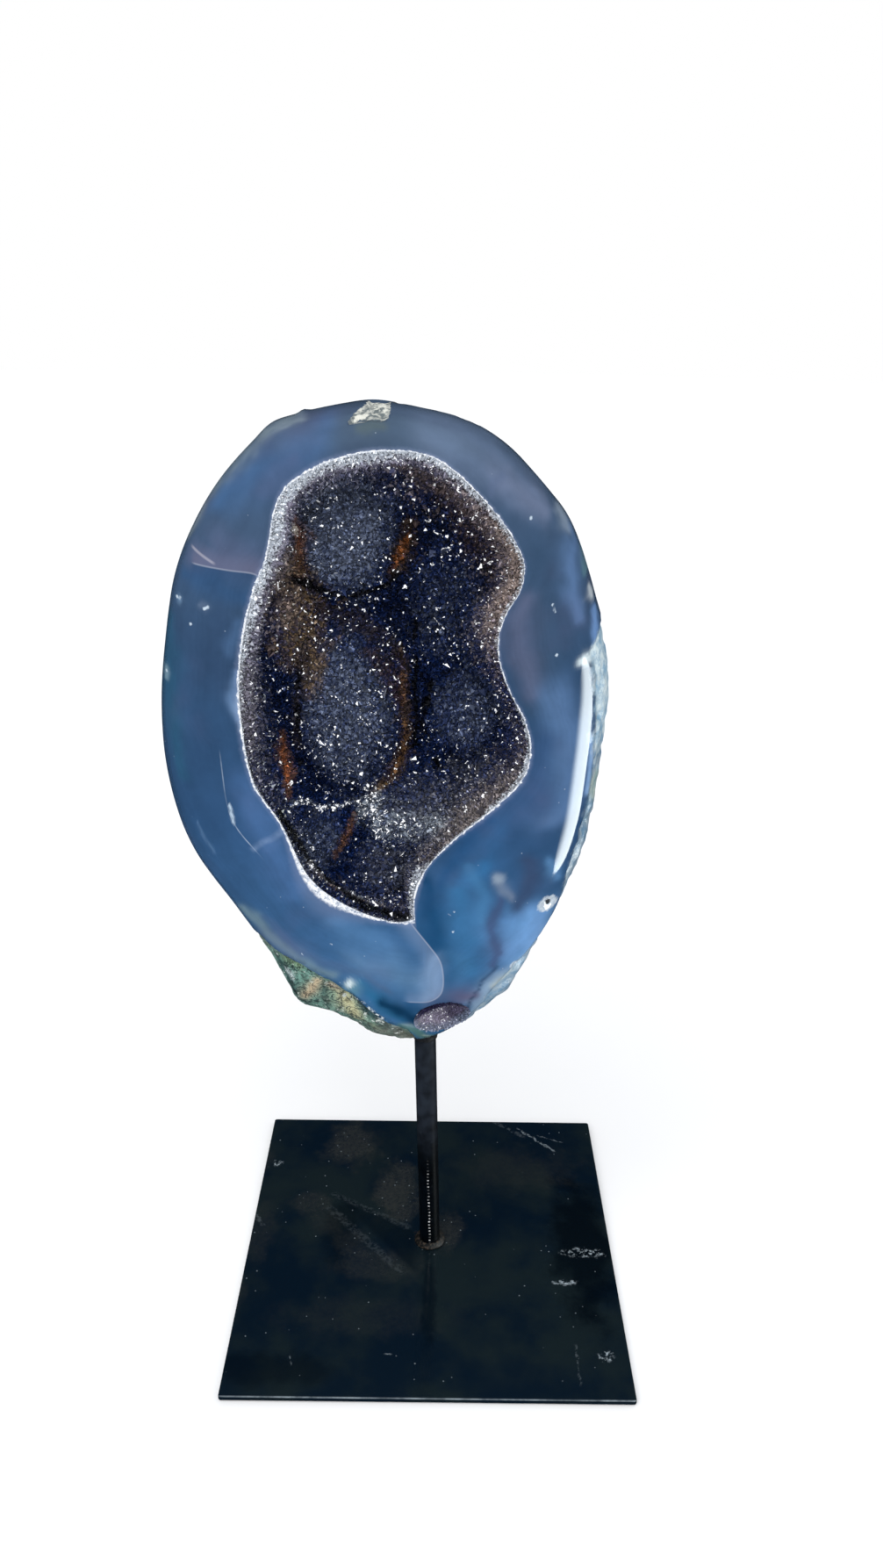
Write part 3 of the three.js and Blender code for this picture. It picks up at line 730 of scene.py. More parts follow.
def rim_wide(degrees):
    """Width of the white quartz line on the polished face at an angle round the stone's middle, in mm."""
    bells = ((0.3, 115, 45), (2.9, 255, 12), (1.2, 281, 3.5), (0.35, 195, 40), (0.3, 325, 28))
    return 0.26 + sum(more * bell(degrees, middle, spread) for more, middle, spread in bells)


def painted(tint, strokes):
    """Lays soft strokes with wandering edges and thinner ends over a tint."""
    for pixels, half, colour, strength in strokes:
        wide = 1.2 * half / PX_PER_MM
        line = spots(pixels)[:, [0, 2]]
        near_line = to_path(flat[:, [0, 2]], line)[0] < 3.2 * wide + 1
        close = np.where(near_line & (flat[:, 1] < FRONT_END))[0]
        p = flat[close]
        bent = p + 0.7 * wide * np.stack([noise(p, 2 + 2.5 * wide, 70 + k, 3) for k in range(3)], -1)
        off, along = to_path(bent[:, [0, 2]], line)
        q = off / (wide * (0.6 + 0.4 * np.sin(np.pi * along)))
        tint[close] += (linear(*colour) - tint[close]) * (strength * np.exp(-0.8 * q * q))[:, None]
    return tint


def away_from(pixels):
    """Distance of skin points from the nearest of some spots of the photograph, in mm."""
    gap = np.linalg.norm(flat[:, None, [0, 2]] - spots(pixels)[None, :, [0, 2]], axis=2).min(1)
    return np.where(flat[:, 1] < FRONT_END, gap, FAR)


def along_line(pixels):
    """Signed distance of skin points from a line on the face and how far they lie past its ends, in mm."""
    line = smooth_row(spots(pixels)[:, [0, 2]], 4, closed=False)
    p = flat[:, [0, 2]]
    best = np.full(len(p), 1e9)
    side, over = np.zeros(len(p)), np.zeros(len(p))
    for k, (a, b) in enumerate(zip(line[:-1], line[1:])):
        length = np.linalg.norm(b - a)
        way = (b - a) / length
        t = (p - a) @ way
        off = np.linalg.norm(p - a - np.clip(t, 0, length)[:, None] * way, axis=1)
        nearer = off < best
        best = np.where(nearer, off, best)
        side = np.where(nearer, (p - a) @ np.array([-way[1], way[0]]), side)
        past = np.maximum(-t * (k == 0), (t - length) * (k == len(line) - 2))
        over = np.where(nearer, np.maximum(past, 0), over)
    return np.clip(side, -FAR, FAR), np.clip(over + 99 * (flat[:, 1] > 2), 0, FAR)


# Lines in the chalcedony, a pit, a ring-shaped mark and specks, as pixels of the photograph
LINES = {
    "suture": [(467, 1050), (477, 1063), (490, 1079), (500, 1092), (504, 1104), (505, 1121),
               (501, 1134), (488, 1141), (468, 1141)],
    "crack": [(223, 642), (240, 646), (262, 650), (290, 654), (304, 655)],
    "flake": [(221, 624), (230, 632), (241, 640)],
    "arc": [(253, 878), (257, 908), (262, 928), (269, 942), (277, 953), (284, 961)],
    "wisp": [(289, 967), (300, 959), (310, 955), (321, 947)],
}
PIT = [(624, 1029)]
RING = [(587, 1098)]
SPECKS = [
    (202, 679), (205, 681), (233, 693), (237, 691), (217, 711), (377, 1076), (345, 1086), (605, 590),
    (512, 1042), (517, 1038), (516, 1061), (630, 689), (632, 696), (634, 746), (664, 948), (190, 763),
    (397, 1118), (399, 1123),
]


def give(name, values, spare=0.0):
    """Keeps a value for each skin point, and one for the point in the middle of the back."""
    values = np.asarray(values, float)
    values = values.reshape(len(flat), -1) if values.size > len(flat) else values.reshape(-1)
    store(stone_skin.data, name, np.concatenate([values, np.full((1,) + values.shape[1:], spare)]))


warped = flat[:, 2] + 5 * noise(flat, 28, 60, 2)
levels = np.array([linear(*c) for c in LEVELS])
tint = np.stack([np.interp(warped, HEIGHTS, levels[:, k]) for k in range(3)], -1)
give("tint", painted(tint, STROKES), 0.1)
give("rind_tint", painted(linear(*RIND_GREEN) * np.ones((len(flat), 1)), RIND_STROKES), 0.1)
give("rim_mm", rim_mm, 99)
give("rim_wide", rim_wide(np.degrees(np.broadcast_to(STEPS[:, None], rim_mm.shape))), 1)
give("rind_mm", rind_mm, 20)
give("chip_mm", chip_away(flat), FAR)
for key, pixels in (("pit_mm", PIT), ("ring_mm", RING), ("speck_mm", SPECKS)):
    give(key, away_from(pixels), FAR)
give("green", fading(np.clip(1.6 * near((385, 1125), 120, 80, 14), 0, 1)))
give("flecked", near((416, 1147), 34, 26) + 0.15)
frost = 0.6 + 0.4 * rise(skin[..., 2], spot(676, 880)[2], spot(678, 835)[2])
give("frost", fading(frost * rise(rind_right, -4, -1)))
give("sunk", sunk)
for key, pixels in LINES.items():
    beside, past = along_line(pixels)
    give(key, beside, FAR)
    give(key + "_past", past, FAR)


def line_mask(m, key, half, soft=0.3, past=1.5):
    """1 on a line of the face, falling to 0 beside it and past its ends."""
    return abs(m.attribute(key)).fall(half, half + soft) * m.attribute(key + "_past").fall(0, past)


def chalcedony_material():
    m = new_material("chalcedony_polished")
    # Faint bands that follow the rim, and soft clouds
    rim = m.attribute("rim_mm")
    bent = rim + m.noise(16, 2) * 9
    band = m.math("SINE", bent * 0.75)
    fine = m.math("SINE", bent * 3.1 + band * 2)
    tone = band * 0.04 + fine * (m.noise(38, 1).step(0.4, 0.62) * 0.018)
    cloud = m.wobble(15, 0.4, 4, 0.5, 0.8) + m.wobble(3.5, 0.22, 4, 0.6, 0.5)
    colour = m.attribute("tint", "Color").times(m.math("MAXIMUM", tone + 1 + cloud, 0.2))
    colour = colour.toward(m.noise(24, 3).step(0.5, 0.8, 0, 0.25), 96, 96, 130)

    # Left of the suture a paler lobe, right of it a darker line
    suture, over = m.attribute("suture"), m.attribute("suture_past").fall(0, 3)
    left = suture.fall(-0.1, 0.1) * suture.step(-6, -0.2) * over
    right = suture.step(-0.1, 0.1) * suture.fall(0.2, 9) * over
    colour = colour.toward(left * 0.36, 130, 152, 184).toward(right * 0.55, 28, 74, 114)
    colour = colour.toward(line_mask(m, "suture", 0.05) * 0.4, 176, 182, 200)

    # Cracks: paler above, darker below
    crack, over = m.attribute("crack"), m.attribute("crack_past").fall(0, 2)
    above = crack.step(-0.08, 0.08) * crack.fall(0.2, 6) * over
    below = crack.fall(-0.08, 0.08) * crack.step(-5, -0.2) * over
    colour = colour.toward(above * 0.45, 112, 110, 134).toward(below * 0.5, 38, 68, 104)
    colour = colour.toward(line_mask(m, "crack", 0.03, 0.32) * 0.42, 168, 174, 190)
    colour = colour.toward(line_mask(m, "flake", 0.1, 0.45) * 0.5, 176, 174, 186)
    arc = line_mask(m, "arc", 0, 0.26, 7) * m.noise(7, 2).step(0.4, 0.62, 0.1, 0.45)
    wisp = line_mask(m, "wisp", 0.1, 1.5) * m.noise(2.4, 4)
    colour = colour.toward(arc, 206, 222, 238).toward(wisp * 0.4, 150, 172, 204)

    # Specks, and milky quartz along the rim
    speck = m.cells(3.2).fall(0.035, 0.075) * m.noise(9).step(0.54, 0.62)
    colour = colour.toward(speck * 0.6, 186, 200, 214)
    share = (rim + m.wobble(1.6, 1.5, 4, 0.65)) / m.attribute("rim_wide")
    colour = colour.toward(share.step(0.4, 3.6, 0.3, 0), 138, 150, 182)
    grain = m.between(m.noise(0.9, 4, 0.65).step(0.32, 0.6), (128, 142, 164), (246, 248, 252))
    colour = m.mix(share.step(0.6, 1.15, 0.97, 0), colour, grain)

    # Chip at the top
    chip = (m.attribute("chip_mm") + m.wobble(2.4, 2, 4)).fall(-0.15, 0.15)
    splinter = m.noise(2.4, 4, 0.6, 1).step(0.38, 0.62)
    colour = m.mix(chip, colour, m.between(splinter, (104, 112, 114), (222, 222, 212)))

    # Natural rind, grey and brown behind, green low on the left
    rind = m.between(m.noise(4, 7, 0.7).step(0.3, 0.7), (66, 74, 74), (160, 160, 148))
    rind = rind.toward(m.noise(22, 4, 0.6).step(0.48, 0.66, 0, 0.75), 132, 110, 80)
    rind = rind.toward(m.noise(17, 5, 0.6, 0.6).step(0.54, 0.7, 0, 0.7), 70, 96, 84)
    rind = rind.toward(m.attribute("sunk").step(0.7, 2, 0, 0.75), 34, 36, 34)
    moss = m.attribute("rind_tint", "Color").times(m.noise(2.6, 7, 0.8).step(0.36, 0.64, 0.35, 1.8))
    vein = abs(m.noise(5, 4, 0.6, 0.8) - 0.5)
    moss = moss.toward(vein.step(0, 0.04, 0.9, 0), 14, 46, 50)
    moss = moss.toward(m.noise(2.6, 6, 0.75).step(0.54, 0.62, 0, 0.75), 24, 66, 66)
    moss = moss.toward(m.noise(1.3, 3, 0.6).step(0.62, 0.68, 0, 0.9), 20, 40, 44)
    rind = m.mix(m.attribute("green"), rind, moss)
    rind = rind.toward(m.noise(1.9, 3, 0.7).step(0.61, 0.67, 0, 0.9), 216, 224, 218)
    rind_mm, frost, flecked = m.attribute("rind_mm"), m.attribute("frost"), m.attribute("flecked")
    ragged = rind_mm + m.wobble(2.2, 1.8, 4)
    bare = frost.fall(0, 0.3)
    is_rind = ragged.step(-0.05, 0.2) * bare
    is_ice = (rind_mm + m.wobble(3.5, 5, 5, 0.6)).step(-1.2, 1.6) * frost
    ice = m.between(m.noise(4, 5, 0.7).step(0.35, 0.65), (122, 170, 202), (222, 238, 242))
    edge = ragged.step(-2.2, -0.4) * ragged.fall(0.4, 1.6) * (bare * m.noise(2.6, 3).step(0.35, 0.55))
    edge = edge * flecked.step(0.1, 0.5, 0.3, 1)
    bits = edge * m.noise(1.5, 3, 0.6).step(0.54, 0.6) * flecked.step(0.2, 0.6)
    colour = m.mix(is_ice * 0.9, m.mix(is_rind, colour, rind), ice)
    colour = colour.toward(edge * 0.75, 20, 40, 50).toward(bits, 222, 232, 236)

    # Pits with a white ring, and bright specks
    uneven = m.wobble(1.8, 2.6, 4, 0.65)
    pit, small = m.attribute("pit_mm") + uneven, m.attribute("ring_mm") + uneven * 0.6
    white = m.between(m.noise(0.8, 3), (150, 176, 200), (244, 248, 250))
    colour = m.mix(pit.step(2.5, 3.4, 0.95, 0), colour, white).toward(pit.step(0.7, 1.2, 0.95, 0), 34, 40, 46)
    colour = colour.toward(small.step(1.3, 2, 0.85, 0), 206, 220, 232)
    colour = colour.toward(small.step(0.5, 0.9, 0.85, 0), 84, 116, 150)
    colour = colour.toward(m.attribute("speck_mm").step(0.3, 0.65, 0.85, 0), 198, 214, 228)

    zone_mask = m.math("MAXIMUM", is_rind, is_ice * 0.55)
    roughness = m.mix(chip, m.mix(zone_mask, 0.07, 0.72), 0.55)
    ripple = m.bump(m.noise(30, 1), 0.5, 0.05)
    coarse = m.bump(m.noise(2.4, 6, 0.65), 1.6, zone_mask, Normal=ripple)
    m.finish(stone_skin, Base_Color=colour, Roughness=roughness, Normal=coarse, IOR=1.54)


chalcedony_material()

# Hollow: how far the crystals' bed stands over the CAD floor and how far from the rim that takes, in mm
LIFT = 2.3
LIFT_OVER = 4.5
hollow = np.swapaxes(smooth_row(HOLLOW_ROWS, HOLLOW_FINER, corner=True), 0, 1)
hollow = np.swapaxes(smooth_row(hollow, HOLLOW_FINER, closed=False), 0, 1).copy()
H_AROUND, H_ROWS = hollow.shape[:2]
hollow_normal = grid_normals(hollow, H_ROWS // 2)
down_mm = np.cumsum(np.linalg.norm(np.diff(hollow, axis=1), axis=2), 1)
down_mm = np.concatenate([np.zeros((H_AROUND, 1)), down_mm], 1)
hollow_normal[:, -3:] = hollow_normal[:, -6:-3].mean((0, 1))
for _ in range(3):
    hollow_normal[:, 1:-1] = hollow_normal[:, :-2] + hollow_normal[:, 1:-1] + hollow_normal[:, 2:]
    hollow_normal = unit(hollow_normal + np.roll(hollow_normal, 1, 0) + np.roll(hollow_normal, -1, 0))
lift = LIFT + 0.5 * noise(hollow.reshape(-1, 3), 6.5, 90, 2).reshape(H_AROUND, H_ROWS)
druse = hollow + hollow_normal * (rise(down_mm, 0, LIFT_OVER) * lift)[..., None]
HOLLOW_TREE = tree_of(to_world(druse.reshape(-1, 3)), grid_faces(H_AROUND, H_ROWS))

# Bed under the crystals, a little below their feet away from the rim
BED_SUNK = 0.35
sunk_bed = druse - hollow_normal * BED_SUNK * rise(down_mm, 0, 2)[..., None]
bed_points = np.concatenate([sunk_bed[:, :-1].reshape(-1, 3), sunk_bed[-1:, -1]])
bed_faces = halved(grid_faces(H_AROUND, H_ROWS - 1), bed_points)
bed = new_mesh("hollow_bed", bed_points, np.concatenate([bed_faces, cap_faces(H_AROUND, H_ROWS - 1)]))


def sown(surface, outward, pitch, seed):
    """Random places on a grid's cells, about one to each square of the given pitch, and their ways out."""
    rng = np.random.default_rng(seed)
    after = np.roll(surface, -1, 0)
    across, along = after[:, 1:] - surface[:, :-1], surface[:, 1:] - after[:, :-1]
    area = np.linalg.norm(np.cross(across, along), axis=2) / 2
    per_cell = area / np.broadcast_to(pitch, surface.shape[:2])[:, :-1] ** 2
    count = np.floor(per_cell + rng.random(per_cell.shape)).astype(int)
    i, j = (np.repeat(index, count[count > 0]) for index in np.nonzero(count))
    u, v = rng.random((2, len(i), 1))
    k = (i + 1) % len(surface)

    def between(g):
        return (g[i, j] * (1 - u) + g[k, j] * u) * (1 - v) + (g[i, j + 1] * (1 - u) + g[k, j + 1] * u) * v

    return between(surface), unit(between(outward)), (i, j)


# Grey that a brighter facet gets over its own tint, and the colour of the facets painted near white as
# painted glints
GREY_LIFT = 0.007
PAINTED_GLINT_COLOUR = [0.97, 0.98, 1.0]
# How far a crystal's foot reaches below its place, as a share of its size
FOOT_SUNK = 0.45


def crystals(name, at, out, size, tint, painted_glint, seed, tilt=0.38, steep=0.95, contrast=1.0):
    """Six-sided points, each facet with its own shade; a few facets are painted near white as painted glints.
    """
    rng = np.random.default_rng(seed)
    n = len(at)
    way = unit(out + tilt * rng.normal(size=(n, 3)))
    side = unit(np.cross(way, rng.normal(size=(n, 3))))
    other = np.cross(way, side)
    # Foot and tip, each a little uneven
    turn = np.arange(6) * np.pi / 3 + 0.22 * rng.normal(size=(n, 6))
    wide = size[:, None] * (1 + 0.16 * rng.normal(size=(n, 6)))
    spokes = np.cos(turn)[..., None] * side[:, None] + np.sin(turn)[..., None] * other[:, None]
    ring = (at - FOOT_SUNK * size[:, None] * way)[:, None] + wide[..., None] * spokes
    high = size * steep * (0.75 + 0.5 * rng.random(n))
    lean = 0.3 * size[:, None] * rng.normal(size=(n, 2))
    apex = at + high[:, None] * way + lean[:, :1] * side + lean[:, 1:] * other
    points = np.concatenate([ring, apex[:, None]], 1).reshape(-1, 3)
    k = np.arange(6)
    facets = np.stack([k, (k + 1) % 6, np.full(6, 6)], 1)
    made = new_mesh(name, points, (np.arange(n)[:, None, None] * 7 + facets).reshape(-1, 3), smooth=False)
    # Facets' shades, less apart on paler crystals
    spread = contrast * (0.66 - 0.52 * np.clip(tint.mean(1) / 0.45, 0, 1))
    shade = np.exp(spread[:, None] * rng.normal(size=(n, 6)) - 0.1)[..., None]
    colour = np.clip(tint[:, None] * shade + GREY_LIFT * np.maximum(shade - 1, 0), 0, 1)
    # Painted glints: a few facets painted near white
    painted_glint_facets = rng.random((n, 6)) < painted_glint[:, None]
    colour = np.where(painted_glint_facets[..., None], (0.75 + 0.25 * rng.random((n, 6, 1))) * PAINTED_GLINT_COLOUR, colour)
    rgba = np.concatenate([colour, painted_glint_facets[..., None].astype(float)], -1)
    store(made.data, "tint", np.repeat(rgba.reshape(-1, 4), 3, 0), "CORNER")
    return made


# Rounded growths, paler partly from their own greyer crystals and partly as painted light on their raised
# tops: pixel of the middle, half width and height in pixels, and how pale they are
DOMES = [
    ((388, 606), 66, 74, 0.74), ((393, 818), 58, 112, 0.54), ((535, 815), 46, 50, 0.34),
    ((362, 962), 34, 40, 0.35), ((520, 690), 60, 70, 0.12),
]
# Greyer slopes that face up, partly their own colour and partly painted light on them, given the same way
GREY_SLOPES = [((490, 930), 78, 52, 0.4), ((455, 990), 60, 42, 0.34), ((540, 890), 40, 40, 0.22)]
# Both, with their colour, how ragged they are, where their fading starts and how speckled they are
GROWTHS = [(DOMES, (92, 101, 122), 0.12, 0.38, 0.35), (GREY_SLOPES, (98, 100, 106), 0.2, 0.2, 0.6)]
# Stains in the grooves, and first a paler band along the top rim, which is painted light: pixels along each,
# half width in mm, screen colour, strength
STAINS_AND_RIM_LIGHT = [
    # Paler bed along the top rim: painted light
    ([(336, 566), (370, 540), (410, 530), (452, 530)], 3.6, (112, 108, 126), 0.6),
    ([(452, 530), (484, 542), (518, 564), (546, 594), (568, 630)], 3.6, (100, 88, 88), 0.65),
    ([(500, 562), (540, 610), (560, 650)], 4.0, (60, 48, 46), 0.5),
    ([(468, 598), (460, 626), (447, 652)], 3.8, (50, 38, 30), 0.9),
    ([(464, 612), (457, 628), (448, 646)], 1.6, (120, 68, 28), 0.7),
    ([(336, 592), (342, 612), (341, 655)], 3.0, (104, 74, 62), 0.75),
    ([(341, 612), (342, 640)], 1.2, (140, 82, 56), 0.7),
    ([(333, 600), (339, 606)], 1.2, (206, 196, 184), 0.8),
    ([(322, 836), (325, 870), (329, 904)], 2.6, (92, 62, 50), 0.85),
    ([(322, 842), (325, 870), (328, 894)], 1.2, (144, 82, 48), 0.75),
    ([(456, 738), (459, 790), (460, 850), (450, 880), (424, 906)], 2.6, (62, 48, 38), 0.8),
    ([(457, 766), (459, 800)], 1.3, (112, 76, 44), 0.6),
    ([(460, 822), (459, 852), (448, 882)], 1.1, (110, 78, 48), 0.55),
    ([(440, 892), (424, 906)], 0.9, (118, 92, 56), 0.6),
    ([(404, 928), (394, 952), (382, 975)], 1.4, (104, 70, 46), 0.65),
    ([(332, 648), (344, 690), (343, 730), (352, 775)], 7.0, (106, 86, 58), 0.58),
    ([(308, 600), (318, 650), (325, 700)], 6.0, (112, 98, 90), 0.6),
    ([(345, 740), (338, 800), (340, 850)], 2.4, (48, 42, 44), 0.6),
    ([(350, 982), (368, 1000), (394, 1016), (434, 1031)], 1.0, (116, 92, 66), 0.5),
    ([(420, 745), (440, 760), (457, 800)], 3.5, (56, 40, 38), 0.5),
    ([(360, 690), (420, 715), (450, 735)], 3.0, (44, 36, 38), 0.6),
]
# Paler wall inside the rim, partly its own greyer crystals and partly painted light over the shade that falls
# there: middle and spread in degrees round the outline, reach in mm, colour, strength
WALLS = [
    (178, 36, 9, (118, 114, 124), 0.8), (140, 24, 8, (118, 116, 134), 0.6),
    (104, 44, 10, (186, 180, 202), 0.85), (44, 24, 14, (142, 126, 118), 0.9),
    (312, 30, 10, (112, 104, 102), 0.85),
]
# Painted shade: dark grooves between the growths and the shadow line just inside the lower-left rim, as
# pixels along each and half width in mm
GROOVE_SHADE = [
    ([(336, 660), (365, 672), (400, 678), (435, 668), (452, 655)], 1.3),
    ([(474, 710), (472, 780), (474, 846)], 1.0),
    ([(318, 926), (335, 953), (349, 974), (364, 992), (380, 1007), (398, 1021), (417, 1032), (462, 1044)],
     1.5),
    ([(490, 780), (482, 830), (500, 872)], 1.2),
    ([(342, 770), (339, 820), (343, 870)], 0.9),
]
# Patches of painted glints, with painted light on ledges that face up: pixels along each, half width in mm,
# share of facets with painted glints
PAINTED_SPARKLES = [
    ([(428, 925), (434, 945), (446, 936)], 4.0, 0.12), ([(458, 946), (500, 940)], 3.0, 0.05),
    ([(352, 984), (370, 1001), (396, 1016), (434, 1030)], 0.8, 0.06),
    ([(329, 928), (335, 914), (350, 912), (366, 921), (388, 918), (412, 909)], 0.6, 0.34),
    ([(430, 905), (412, 925)], 2.0, 0.06),
]
# Share of facets with painted glints, and how strongly those glow as painted light; how much painted shade
# darkens the bed beside its crystals
PAINTED_GLINT = 0.0045
PAINTED_GLINT_GLOW = 0.65
BED_SHADE = 0.65
# Crystals' least and most pitch in mm, and their size as a share of it
PITCH_LEAST, PITCH_MOST = 0.46, 0.62
SIZE_SHARE = 0.74
# Further points, larger crystals with painted glints: their pitch, size and least distance from the rim, in
# mm
SPARK_PITCH = 2.7
SPARK_SIZE = 0.28
SPARK_FROM = 1.5
# Most crystals in one piece
PIECE_MOST = 30000


def druse_look(at, cell, seed):
    """Tint and share of bright facets for crystals at points of the hollow."""
    luck = np.random.default_rng(seed).random(len(at))
    tint = linear(3, 23, 63) * np.ones((len(at), 1))
    painted_glint = PAINTED_GLINT * np.exp(0.9 * noise(at, 12, 140, 2))
    down = down_mm[cell]
    turn = np.degrees(from_middle(at)[0])
    blur = 0.5 * noise(at, 7, 101, 2) + 0.5 * noise(at, 2.2, 105)

    def blend(colour, share, speckle=0.35):
        chosen = rise(share - luck, -speckle, speckle) * (share > 0.01)
        part = (0.45 * np.clip(share, 0, 1) + 0.55 * chosen)[:, None]
        return tint + (linear(*colour) - tint) * part

    def from_line(pixels):
        return to_path(at, spots(pixels, HOLLOW_TREE))

    # Darker deeper in the hollow: partly the dark stone behind the clear crystals, partly painted shade in
    # the recess
    tint = blend((15, 18, 30), 0.5 * rise(at[:, 1], -12, 4))
    for growths, colour, ragged, start, speckle in GROWTHS:
        for pixel, wide, high, strength in growths:
            c = spot(*pixel, HOLLOW_TREE)
            q = np.hypot((at[:, 0] - c[0]) * PX_PER_MM / wide, (at[:, 2] - c[2]) * PX_PER_MM / high)
            tint = blend(colour, strength * (1 - rise(q + ragged * blur, start, 1.1)), speckle)
    for middle, spread, wide, colour, strength in WALLS:
        share = strength * bell(turn, middle, spread) * np.exp(-((down / (wide + 2 * blur)) ** 2))
        tint = blend(colour, share)
    for pixels, wide, colour, strength in STAINS_AND_RIM_LIGHT:
        off, along = from_line(pixels)
        off = off * (1 + 0.35 * noise(at, 2.5, 131, 2)) / (0.55 + 0.45 * np.sin(np.pi * along))
        tint = blend(colour, strength * (1 - rise(off, 0.3 * wide, 1.6 * wide)))
    # Painted glints, and a paler tint as painted light on the ledges
    for pixels, wide, more in PAINTED_SPARKLES:
        share = np.exp(-((from_line(pixels)[0] / wide) ** 2)) * (1 + 0.5 * blur)
        painted_glint = painted_glint + more * share
        tint = blend((132, 142, 154), 0.45 * share)
    # White quartz just inside the rim, widest at the top and the lower left
    wide = 0.15 + 1.5 * bell(turn, 105, 52) + 0.9 * bell(turn, 281, 5) + 0.3 * bell(turn, 335, 20)
    white = 1 - rise(down + 0.7 * wide * noise(at, 1.6, 150, 2), 0.5 * wide, 3.4 * wide)
    white = white * (1 - 0.9 * bell(turn, 258, 25))
    tint = blend((214, 222, 232), white)
    painted_glint = painted_glint + 0.1 * white
    # Painted shade in the grooves, with the painted glints taken out there
    for pixels, wide in GROOVE_SHADE:
        off = from_line(pixels)[0] * (1 + 0.25 * blur)
        tint = blend((6, 6, 11), 0.98 * (1 - rise(off, 0.4 * wide, 1.5 * wide)), 0.3)
        painted_glint = painted_glint * rise(off, 0.3 * wide, 1.2 * wide)
    return tint, painted_glint


def hollow_crystals():
    """The hollow's crystals, smaller right behind the rim but not along the top, and its further points."""
    pitch = np.clip(PITCH_LEAST + 0.03 * down_mm, PITCH_LEAST, PITCH_MOST)
    at, out, cell = sown(druse, hollow_normal, pitch, 17)
    rng = np.random.default_rng(18)
    size = pitch[cell] * SIZE_SHARE * np.exp(0.33 * rng.normal(size=len(at)))
    top = bell(np.degrees(from_middle(hollow[cell[0], 0])[0]), 105, 50)
    size = size * np.maximum(rise(down_mm[cell], -0.6, 0.9), top)
    tint, painted_glint = druse_look(at, cell, 41)
    made = []
    parts = np.array_split(np.argsort(-at[:, 2], kind="stable"), math.ceil(len(at) / PIECE_MOST))
    for k, part in enumerate(parts):
        own = (values[part] for values in (at, out, size, tint, painted_glint))
        made.append(crystals(f"druse_{k + 1}", *own, 19 + k))
    at, out, cell = sown(druse, hollow_normal, SPARK_PITCH, 43)
    kept = down_mm[cell] > SPARK_FROM
    at, out, cell = at[kept], out[kept], (cell[0][kept], cell[1][kept])
    size = SPARK_SIZE * np.exp(0.45 * rng.normal(size=len(at)))
    tint = druse_look(at, cell, 44)[0]
    painted_glint = 0.5 * rise(noise(at, 14, 140, 2), -0.9, 0.2)
    made.append(crystals("druse_sparks", at + 0.22 * out, out, size, tint, painted_glint, 45, tilt=0.5, steep=0.8))
    return made


druse_pieces = hollow_crystals()
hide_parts("druse_crust")
bed_cell = tuple(np.indices((H_AROUND, H_ROWS - 1)).reshape(2, -1))
bed_tint = druse_look(druse[bed_cell], bed_cell, 46)[0]
# The bed takes the hollow's tints, darkened by painted shade beside the crystals
store(bed.data, "tint", BED_SHADE * np.concatenate([bed_tint, bed_tint[-1:]]))

# Pocket: its depth in mm, its rows and the points in each, and its crystals' pitch and size in mm
POCKET_DEEP = 5.2
POCKET_ROWS = 18
POCKET_AROUND = 96
POCKET_PITCH, POCKET_SIZE = 0.6, 0.46


def pocket_bowl():
    """The pocket's bowl, from its edge in the skin to its bottom."""
    turn = np.linspace(0, 2 * np.pi, POCKET_AROUND, endpoint=False)[:, None]
    q = np.cos(np.arange(POCKET_ROWS + 1) / POCKET_ROWS * np.pi / 2) * np.ones_like(turn)
    flat_bowl = np.stack([q * np.cos(turn), q * np.sin(turn)], -1) * POCKET_HALF @ POCKET_AXES + pocket_at
    tree = tree_of(skin.reshape(-1, 3), faces)
    edge = flat_bowl[:, 0]
    met = np.array([tree.find_nearest(Vector(e + 3 * POCKET_OUT))[0] for e in edge])
    height = (met - edge) @ POCKET_OUT
    sunk = POCKET_DEEP * np.sqrt(np.clip(1 - q**2.4, 0, 1))
    sunk = sunk * (1 + 0.2 * noise(flat_bowl.reshape(-1, 3), 4, 160, 2).reshape(sunk.shape))
    out = height[:, None] * q + height.mean() * (1 - q)
    return flat_bowl + (out - sunk)[..., None] * POCKET_OUT


def pocket_look(at):
    """Tint and share of facets with painted glints for crystals at points of the pocket, with painted shade
    over its upper part.
    """
    side, up = pocket_place(at).T
    q = np.hypot(up, side)
    blur = 0.4 * noise(at, 3, 170)
    # Painted shade over the upper part of the pocket, darkest at its upper left; painted glints mostly where
    # it is unshaded
    painted_shade = rise(up - 0.25 * side + blur, -0.75, 0.1)
    upper_painted_shade = rise(up + 0.75 * side + blur, 0.15, 0.9)
    pale = rise(q, 0.86, 1.0) * (1 - rise(up, -0.2, 0.6))
    tint = linear(166, 158, 180) * np.ones((len(at), 1))
    for colour, share in (((96, 90, 116), painted_shade), ((50, 46, 76), upper_painted_shade), ((122, 142, 166), 0.6 * pale)):
        tint = tint + (linear(*colour) - tint) * share[:, None]
    return tint, 0.002 + 0.04 * (1 - painted_shade) * rise(q, 0.1, 0.5) + 0.01 * painted_shade * (1 - upper_painted_shade)


bowl = pocket_bowl()
bowl_normal = grid_normals(bowl, POCKET_ROWS // 2, POCKET_OUT)
bowl_normal[:, -2:] = POCKET_OUT
bowl_points = bowl.reshape(-1, 3)
bowl_faces = halved(grid_faces(POCKET_AROUND, POCKET_ROWS + 1), bowl_points)
bowl_piece = new_mesh("pocket_bed", bowl_points, bowl_faces)
